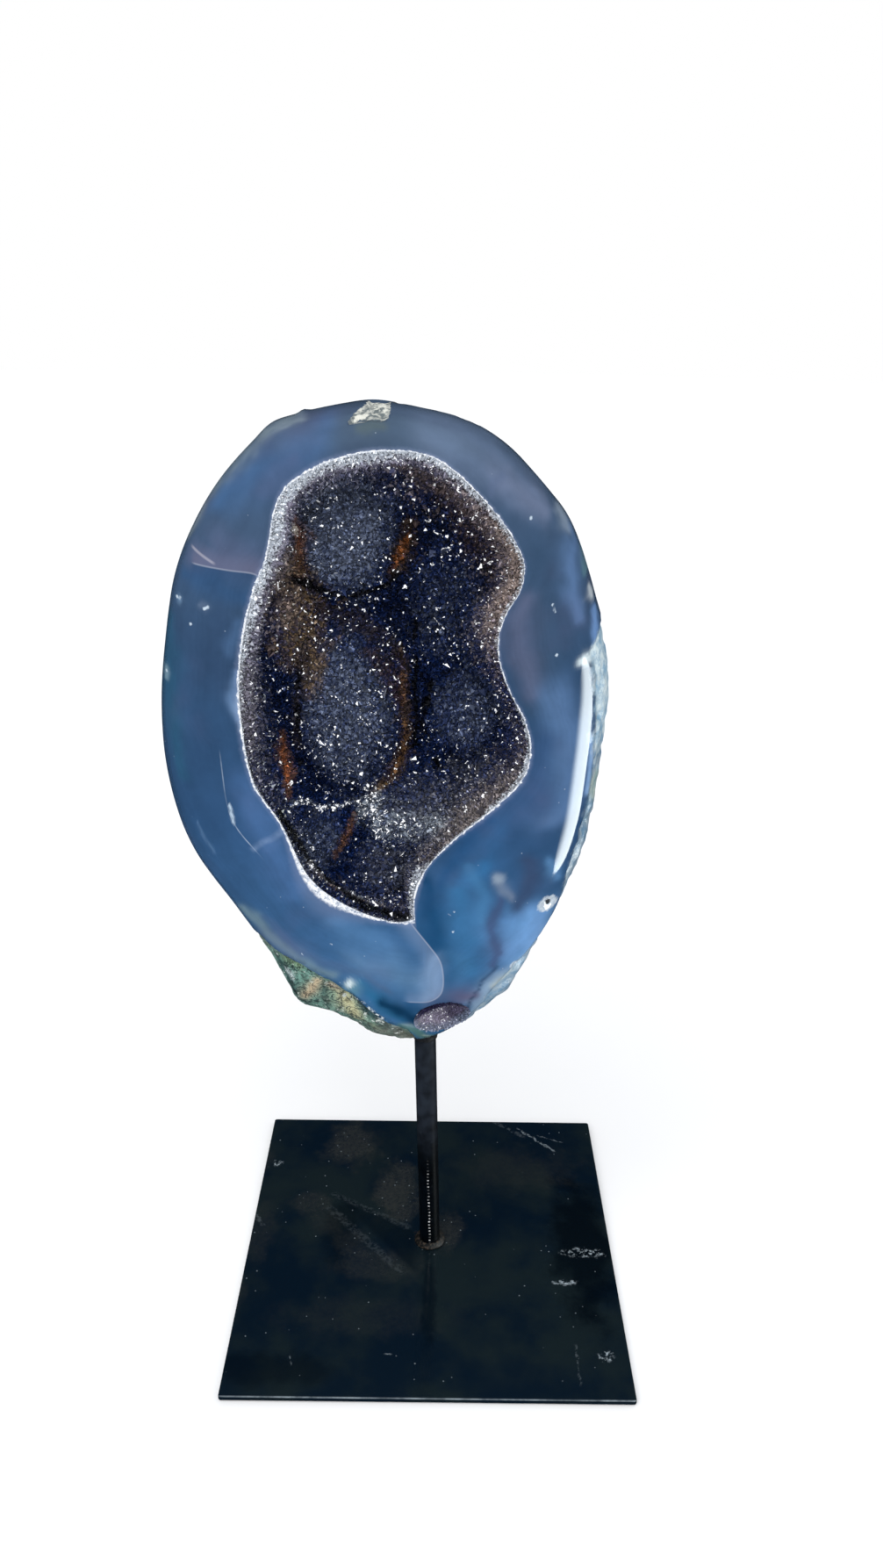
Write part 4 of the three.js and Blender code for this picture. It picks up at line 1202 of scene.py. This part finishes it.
# The pocket's bed, darkened the same way by painted shade
store(bowl_piece.data, "tint", BED_SHADE * pocket_look(bowl_points)[0])
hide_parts("vug_crust")
at, out, _ = sown(bowl, bowl_normal, POCKET_PITCH, 23)
size = np.full(len(at), POCKET_SIZE)
pocket_druse = crystals("pocket_crystals", at, out, size, *pocket_look(at), 24, contrast=0.8)


def druse_material(*pieces):
    m = new_material("druse_crystals")
    tint, painted_glint = m.attribute("tint", "Color"), m.attribute("tint", "Alpha")
    # Facets with painted glints take their near-white tint and glow through emission: a painted highlight
    colour = m.mix(painted_glint, tint.times(0.7 + m.noise(0.7, 2) * 0.6), tint)
    roughness = 0.14 + m.noise(1.4, 1) * 0.2
    m.finish(*pieces, Base_Color=colour, Roughness=roughness, Normal=m.bump(m.noise(0.35, 2), 0.05, 0.35),
             Emission_Color=tint, Emission_Strength=painted_glint * PAINTED_GLINT_GLOW, IOR=1.54)


def bed_material(*pieces):
    m = new_material("druse_bed")
    colour = m.attribute("tint", "Color").times(m.noise(0.8, 3).step(0.3, 0.7, 0.5, 1.3))
    m.finish(*pieces, Base_Color=colour, Roughness=0.6, Normal=m.bump(m.cells(0.8), 0.4, 0.8), IOR=1.5)


druse_material(*druse_pieces, pocket_druse)
bed_material(bed, bowl_piece)

# Stand: rod, glue, weld and plate, with the rod's own axis and the way that it leans, and the widths of the
# rounding of the rod's ends and the plate's edges in mm
AXIS = np.array([-math.sin(LEAN), 0.0, math.cos(LEAN)])
LEAN_SIDE = np.array([math.cos(LEAN), 0.0, math.sin(LEAN)])
ROD_ROUND = 0.5
PLATE_ROUND = 0.28


def lathe(name, profile, sides, rough_mm=0.0, seed=0):
    """A turned piece on the rod's axis; the profile is radius and height over the plate, in mm."""
    turn = np.linspace(0, 2 * np.pi, sides, endpoint=False)[:, None]
    r, z = np.array(profile).T
    spread = LEAN_SIDE * np.cos(turn) + np.array([0, 1.0, 0]) * np.sin(turn)
    points = spread[:, None] * r[None, :, None] + AXIS * z[None, :, None]
    if rough_mm:
        wobble = noise(points.reshape(-1, 3), 1.6, seed, 3).reshape(sides, len(r))
        points = points + spread[:, None] * (rough_mm * wobble * (r > 0.4 * r.max()))[..., None]
    points = points.reshape(-1, 3) @ TURNED - STONE
    return new_mesh(name, points, halved(grid_faces(sides, len(r)), points)[:, ::-1])


def rounded(points, radius, steps=4):
    """A profile whose inner corners are rounded."""
    p = [np.array(v, float) for v in points]
    made = [p[0]]
    for before, corner, after in zip(p[:-2], p[1:-1], p[2:]):
        ends = []
        for way in (before - corner, after - corner):
            length = np.linalg.norm(way)
            ends.append(corner + way / length * min(radius, length / 2))
        for t in np.arange(steps + 1) / steps:
            made.append((1 - t) ** 2 * ends[0] + 2 * t * (1 - t) * corner + t * t * ends[1])
    made.append(p[-1])
    return [v for k, v in enumerate(made) if k == 0 or np.linalg.norm(v - made[k - 1]) > 1e-4]


def over_plate(box):
    """Lowest and highest place of a box over the plate, and half its depth, in mm."""
    low, high = box
    return (low.z - FOOT[2]) / MM, (high.z - FOOT[2]) / MM, (high.y - low.y) / 2 / MM


rod_low, rod_high, rod_radius = over_plate(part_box("post"))
ends = rounded([(0.01, rod_low), (rod_radius, rod_low), (rod_radius, rod_high), (0.01, rod_high)], ROD_ROUND)
rod_profile = [v for v in ends if v[1] < rod_low + 1.5]
rod_profile += [(rod_radius, z) for z in np.linspace(rod_low + 2, rod_high - 2, 90)]
rod = lathe("post_rod", rod_profile + [v for v in ends if v[1] > rod_high - 1.5], 64)
rod_points = (np.array([v.co[:] for v in rod.data.vertices]) - FOOT) / MM
store(rod.data, "high", rod_points @ AXIS)
store(rod.data, "across", np.where(rod_points[:, 1] < 0, rod_points @ LEAN_SIDE, 9.0))
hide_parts("post")

low, high, reach = over_plate(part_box("putty_collar"))
collar_profile = [
    (rod_radius + 0.05, low), (rod_radius + 0.5, low + 0.1), (rod_radius + 0.8, low + 2.2),
    (reach - 0.5, high - 0.9), (reach - 0.3, high - 0.15), (rod_radius + 0.05, high - 0.1),
]
collar = lathe("putty", rounded(collar_profile, 0.8, 6), 72, 0.28, 31)
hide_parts("putty_collar")

low, high, reach = over_plate(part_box("foot_weld"))
weld_profile = [
    (rod_radius + 0.1, high - 0.1), (rod_radius + 0.5, high - 0.12), (reach - 0.7, low + 0.75),
    (reach - 0.15, low + 0.05), (rod_radius + 0.1, low + 0.02),
]
weld = lathe("weld_bead", rounded(weld_profile, 0.5, 6)[::-1], 96, 0.12, 37)
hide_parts("foot_weld")


def plate_piece():
    """The CAD plate with softened edges."""
    bm = bmesh.new()
    bm.from_mesh(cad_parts["base_plate"].data)
    bmesh.ops.remove_doubles(bm, verts=bm.verts, dist=1e-6)
    bmesh.ops.dissolve_limit(bm, angle_limit=math.radians(2), verts=bm.verts, edges=bm.edges)
    edges = [e for e in bm.edges if len(e.link_faces) == 2 and e.calc_face_angle() > math.radians(60)]
    bmesh.ops.bevel(bm, geom=edges, offset=PLATE_ROUND * MM, segments=3, profile=0.5, affect="EDGES")
    mesh = bpy.data.meshes.new("plate_sheet")
    bm.to_mesh(mesh)
    bm.free()
    return placed(mesh)


plate = plate_piece()
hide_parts("base_plate")


def on_plate(px, py):
    """Where the view ray through a pixel meets the plate's top, in metres."""
    ray = sight(px, py)
    return CAMERA_AT + ray * ((FOOT[2] - CAMERA_AT.z) / ray.z)


def ellipse_mask(m, pixel, wide, deep, ragged=8.0):
    """A soft-edged spot on the plate with half sizes in mm, ragged with noise."""
    c = on_plate(*pixel)
    away = m.node("VectorMath", (m.place, (c.x, c.y, 0)), operation="SUBTRACT")
    away = m.node("VectorMath", (away, (1000 / wide, 1000 / deep, 0)), operation="MULTIPLY")
    length = m.node("VectorMath", (away,), "Value", operation="LENGTH")
    return (length + m.wobble(ragged, 1.6, 4, 0.65)).fall(0.35, 1.05)


def beside_plate_line(m, start, end):
    """How far plate points lie right of a line between two pixels and along it, and its length, in mm."""
    a, b = on_plate(*start), on_plate(*end)
    way = (b - a).normalized()
    values = []
    for x, y in ((way.y, -way.x), (way.x, way.y)):
        dot = m.node("VectorMath", (m.place, (x / MM, y / MM, 0)), "Value", operation="DOT_PRODUCT")
        values.append(dot - (x * a.x + y * a.y) / MM)
    return *values, (b - a).length / MM


def scratch_mask(m, start, end, half, ragged):
    """A broken scratch on the plate between two pixels."""
    beside, along, length = beside_plate_line(m, start, end)
    on = abs(beside + m.wobble(ragged, ragged, 3)).fall(0.4 * half, half)
    ends = along.step(0, 2) * along.fall(length - 2, length)
    return on * ends * m.noise(1.6, 4, 0.7).step(0.42, 0.6)


# Edges of the wedge that was wiped clean, each with the wedge on its right, and its softness in mm
WIPED = [((366, 1350), (486, 1408), 1.0), ((486, 1408), (484, 1466), 6.0), ((484, 1466), (366, 1350), 2.5)]
# Scratches: two pixels, half width and waviness in mm, strength
SCRATCHES = [
    ((588, 1284), (634, 1314), 0.6, 3.0, 0.5), ((606, 1292), (642, 1302), 0.4, 2.0, 0.3),
    ((628, 1462), (656, 1462), 0.5, 1.5, 0.7), ((268, 1338), (300, 1398), 0.8, 4.0, 0.12),
    ((436, 1542), (448, 1543), 0.45, 1.0, 0.6), ((330, 1543), (332, 1556), 0.35, 1.0, 0.6),
    ((372, 1372), (462, 1452), 2.0, 3.0, 0.05), ((376, 1358), (470, 1400), 1.6, 2.0, 0.05),
    ((656, 1530), (662, 1580), 0.5, 3.0, 0.15), ((560, 1276), (600, 1296), 1.2, 3.0, 0.12),
]
# Smudges of dust on the plate: pixel, half width and depth in mm, strength
DUST = [
    ((402, 1303), 14, 15, 0.75), ((452, 1360), 11, 19, 0.85), ((357, 1370), 9, 7, 0.45),
    ((508, 1405), 8, 12, 0.75), ((430, 1440), 20, 9, 0.4), ((590, 1330), 26, 14, 0.3),
    ((300, 1400), 6, 18, 0.3), ((420, 1500), 34, 10, 0.2), ((372, 1392), 7, 8, 0.3),
    ((400, 1416), 8, 8, 0.3), ((266, 1470), 5, 14, 0.3), ((300, 1318), 5, 9, 0.35),
]
# Cleaner, darker patches, given the same way
CLEAN = [((664, 1420), 14, 40, 0.8), ((390, 1400), 9, 20, 0.5), ((300, 1560), 30, 8, 0.5)]
# Scuffs to bare metal: pixel, half width and depth in mm
SCUFFS = [((664, 1427), 8, 2.6), ((643, 1461), 5, 1.3), ((690, 1545), 3, 2.5), ((317, 1325), 2.5, 2)]
# Clean strip before the rod's foot, and rust before the weld: the same, with their raggedness in mm
STRIP = ((489, 1478), 3.2, 30, 3.0)
RUST = ((489, 1411), 6, 5, 2.5)


def plate_material():
    m = new_material("plate_black_paint")
    dust = sum(ellipse_mask(m, *spot_of_dust) * strength for *spot_of_dust, strength in DUST)
    wiped = math.prod(beside_plate_line(m, start, end)[0].step(0, soft) for start, end, soft in WIPED)
    clean = m.math("MAXIMUM", wiped * 0.85, ellipse_mask(m, *STRIP))
    dust = dust * (1.0 - clean)
    scuff = sum(scratch_mask(m, *scratch) * strength for *scratch, strength in SCRATCHES)
    flecked = m.noise(1.3, 4, 0.7).step(0.5, 0.6)
    scuff = scuff + sum(ellipse_mask(m, *bare, 2.5) * flecked for bare in SCUFFS)
    dust = m.math("MULTIPLY", dust, m.noise(1.4, 5, 0.7).step(0.3, 0.7, 0.4, 1), use_clamp=True)
    base = m.between(m.noise(36, 4, 0.6).step(0.38, 0.62), (5, 18, 31), (19, 29, 33))
    for *patch, strength in CLEAN:
        base = base.toward(ellipse_mask(m, *patch, 12.0) * strength, 0, 4, 12)
    base = base.toward(clean * 0.6, 1, 8, 18).toward(dust * 0.8, 50, 51, 48)
    dots = m.cells(2.6).fall(0.06, 0.12) * dust.step(0.2, 0.6, 0, 0.6)
    speck = m.cells(4.4).fall(0.035, 0.07) * m.noise(14).step(0.38, 0.54)
    rust = ellipse_mask(m, *RUST) * m.noise(1.1, 3).step(0.4, 0.62)
    base = base.toward(rust * 0.6, 66, 54, 42)

    # Painted highlight along the top of the front edge, drawn pale like bare metal
    y, z = (m.node("SeparateXYZ", (m.place,), axis) for axis in "YZ")
    zone_mask = y.fall(plate_low.y + 0.1 * MM, plate_low.y + 0.6 * MM)
    zone_mask = zone_mask * z.step(plate_high.z - 0.3 * MM, plate_high.z - 0.1 * MM)
    zone_mask = zone_mask * m.noise(9, 5, 0.7).step(0.35, 0.65, 0.25, 1)
    # Scuffs, dust dots and specks, and the painted highlight along the front edge, all pale
    marks_and_edge_highlight = scuff + dots + (speck * 0.45 + zone_mask * 0.75)
    base = base.toward(m.math("MINIMUM", marks_and_edge_highlight, 0.9), 150, 162, 170)
    roughness = 0.05 + dust * 0.42 + m.noise(9, 3) * 0.08
    wavy = m.bump(m.noise(18, 2), 0.3, 0.06)
    grainy = m.bump(m.noise(0.7, 2), 0.03, 0.25, Normal=wavy)
    m.finish(plate, Base_Color=base, Roughness=roughness, Normal=grainy, IOR=1.45)


# Painted highlight on the rod's front near its foot, drawn as a row of pale dots: their pitch, half width,
# and lowest and highest place, in mm
HIGHLIGHT_DOT_PITCH = 1.4
HIGHLIGHT_DOT_HALF = 0.4
HIGHLIGHT_DOT_LOW, HIGHLIGHT_DOT_HIGH = 1.5, 40


def rod_material():
    m = new_material("rod_black_paint")
    high = m.attribute("high")
    # Lighter up the rod and darker near its foot: painted sheen on its upper part
    base = m.between(high.step(34, 58), (2, 6, 12), (30, 36, 45))
    base = base.times(m.noise(4, 3).step(0.3, 0.7, 0.6, 1.4))
    base = base.toward(m.noise(1.0, 4, 0.6).step(0.68, 0.74) * 0.4, 84, 88, 96)
    # Painted highlight: pale dots in a row down the rod's front near its foot
    wave = m.math("SINE", high * (2 * math.pi / HIGHLIGHT_DOT_PITCH))
    dots = wave.step(0.3, 0.7) * abs(m.attribute("across") + m.wobble(6, 0.6)).fall(HIGHLIGHT_DOT_HALF / 2, HIGHLIGHT_DOT_HALF)
    dots = dots * (high.step(HIGHLIGHT_DOT_LOW, HIGHLIGHT_DOT_LOW + 2) * high.fall(HIGHLIGHT_DOT_HIGH / 2, HIGHLIGHT_DOT_HIGH))
    base = base.toward(dots * m.noise(2.2, 2).step(0.42, 0.58, 0.1, 1), 248, 249, 250)
    roughness = 0.28 + m.noise(2, 3) * 0.16
    m.finish(rod, Base_Color=base, Roughness=roughness, Normal=m.bump(m.noise(0.9, 3), 0.12, 0.3), IOR=1.36)


def putty_material():
    m = new_material("black_putty")
    base = m.between(m.noise(1.2, 4), (14, 16, 20), (44, 46, 50))
    lumpy = m.bump(m.noise(0.8, 4, 0.65), 0.25, 0.7)
    m.finish(collar, Base_Color=base, Roughness=0.35 + m.noise(1, 3) * 0.3, Normal=lumpy, IOR=1.48)


def weld_material():
    m = new_material("rusty_weld")
    base = m.between(m.noise(0.8, 4).step(0.46, 0.64), (14, 14, 15), (60, 50, 41))
    lumpy = m.bump(m.noise(0.5, 4, 0.65), 0.2, 0.8)
    m.finish(weld, Base_Color=base, Roughness=0.4 + m.noise(0.7, 3) * 0.35, Normal=lumpy, IOR=1.5)


plate_material()
rod_material()
putty_material()
weld_material()

# Floor, light and camera: brightness of the light from all round, and of the room and its ceiling in
# reflections
DOME = 0.71
ROOM_DIM = 0.022
CEILING = 0.5
# Softness of the strip light's left edge, as shares of its width
SOFT_FROM = 0.05
SOFT_TO = 0.45


def floor():
    """Pale floor, just under the plate, that isn't seen in reflections."""
    bpy.ops.mesh.primitive_circle_add(vertices=128, radius=6, fill_type="NGON", location=(0, 0, -0.0004))
    disc = bpy.context.object
    disc.name = "pale_floor"
    m = new_material("pale_floor")
    m.finish(disc, Base_Color=m.mix(m.noise(60, 2), (0.93, 0.93, 0.94), (0.95, 0.95, 0.96)), Roughness=0.85)
    disc.visible_glossy = False


def aim(lamp, way):
    """Turns a lamp to shine along a way."""
    lamp.rotation_mode = "QUATERNION"
    lamp.rotation_quaternion = Vector(way).to_track_quat("-Z", "Y")


def softbox(name, at, target, wide, high, watts, colour):
    """A light with a soft edge that only shows as a reflection in glossy surfaces."""
    light = bpy.data.lights.new(name, "AREA")
    light.shape, light.size, light.size_y = "ELLIPSE", wide, high
    light.energy, light.color = watts, colour
    light.use_nodes = True
    m = Nodes(light.node_tree)
    across = m.node("SeparateXYZ", (m.node("NewGeometry", (), "Parametric"),), "X")
    m.put(light.node_tree.nodes["Emission"].inputs["Strength"], across.step(SOFT_FROM, SOFT_TO))
    lamp = linked(name, light)
    lamp.location = at
    aim(lamp, Vector(target) - Vector(at))
    lamp.visible_camera = lamp.visible_diffuse = False


def surroundings():
    """Even light from all round; reflections see a dim room with a pale ceiling, the camera sees white."""
    world = bpy.data.worlds.new("studio")
    bpy.context.scene.world = world
    world.use_nodes = True
    world.cycles.sampling_method = "NONE"
    nodes = world.node_tree.nodes
    m = Nodes(world.node_tree)
    up = m.node("SeparateXYZ", (m.node("TexCoord", (), "Generated"),), "Z")
    glow = up.step(0.72, 1.0, ROOM_DIM, CEILING)
    for key, value in (("Color", (0.96, 0.98, 1.0)), ("Strength", DOME)):
        m.put(nodes["Background"].inputs[key], value)
    last = Value(m, nodes["Background"].outputs[0])
    views = (("Is Glossy Ray", (0.55, 0.85, 1.0), glow), ("Is Camera Ray", (1, 1, 1), 1))
    for ray, colour, strength in views:
        view = m.node("Background", {"Color": colour, "Strength": strength})
        last = m.node("MixShader", (m.node("LightPath", (), ray), last, view))
    m.put(nodes["World Output"].inputs["Surface"], last)


def camera():
    """The photograph's camera."""
    data = bpy.data.cameras.new("photo_camera")
    data.sensor_fit = "VERTICAL"
    data.sensor_height = data.sensor_width = SENSOR
    data.lens = FOCAL * SENSOR / PHOTO_HIGH
    data.clip_start, data.clip_end = 0.01, 50
    made = linked("photo_camera", data)
    turned = Matrix((RIGHT, UP, -AHEAD)).transposed()
    made.matrix_world = Matrix.Translation(CAMERA_AT) @ turned.to_4x4()
    bpy.context.scene.camera = made


floor()
surroundings()
camera()
sun = linked("soft_key", bpy.data.lights.new("soft_key", "SUN"))
sun.data.energy, sun.data.angle = 2.05, math.radians(70)
aim(sun, (0.3, 0.75, -1.0))
sun.visible_glossy = False
softbox("strip_right", (0.2, -0.072, 0.119), (0.04, -0.02, 0.17), 0.125, 0.195, 0.8, (0.92, 1, 1))
bpy.context.scene.view_settings.view_transform = "Standard"
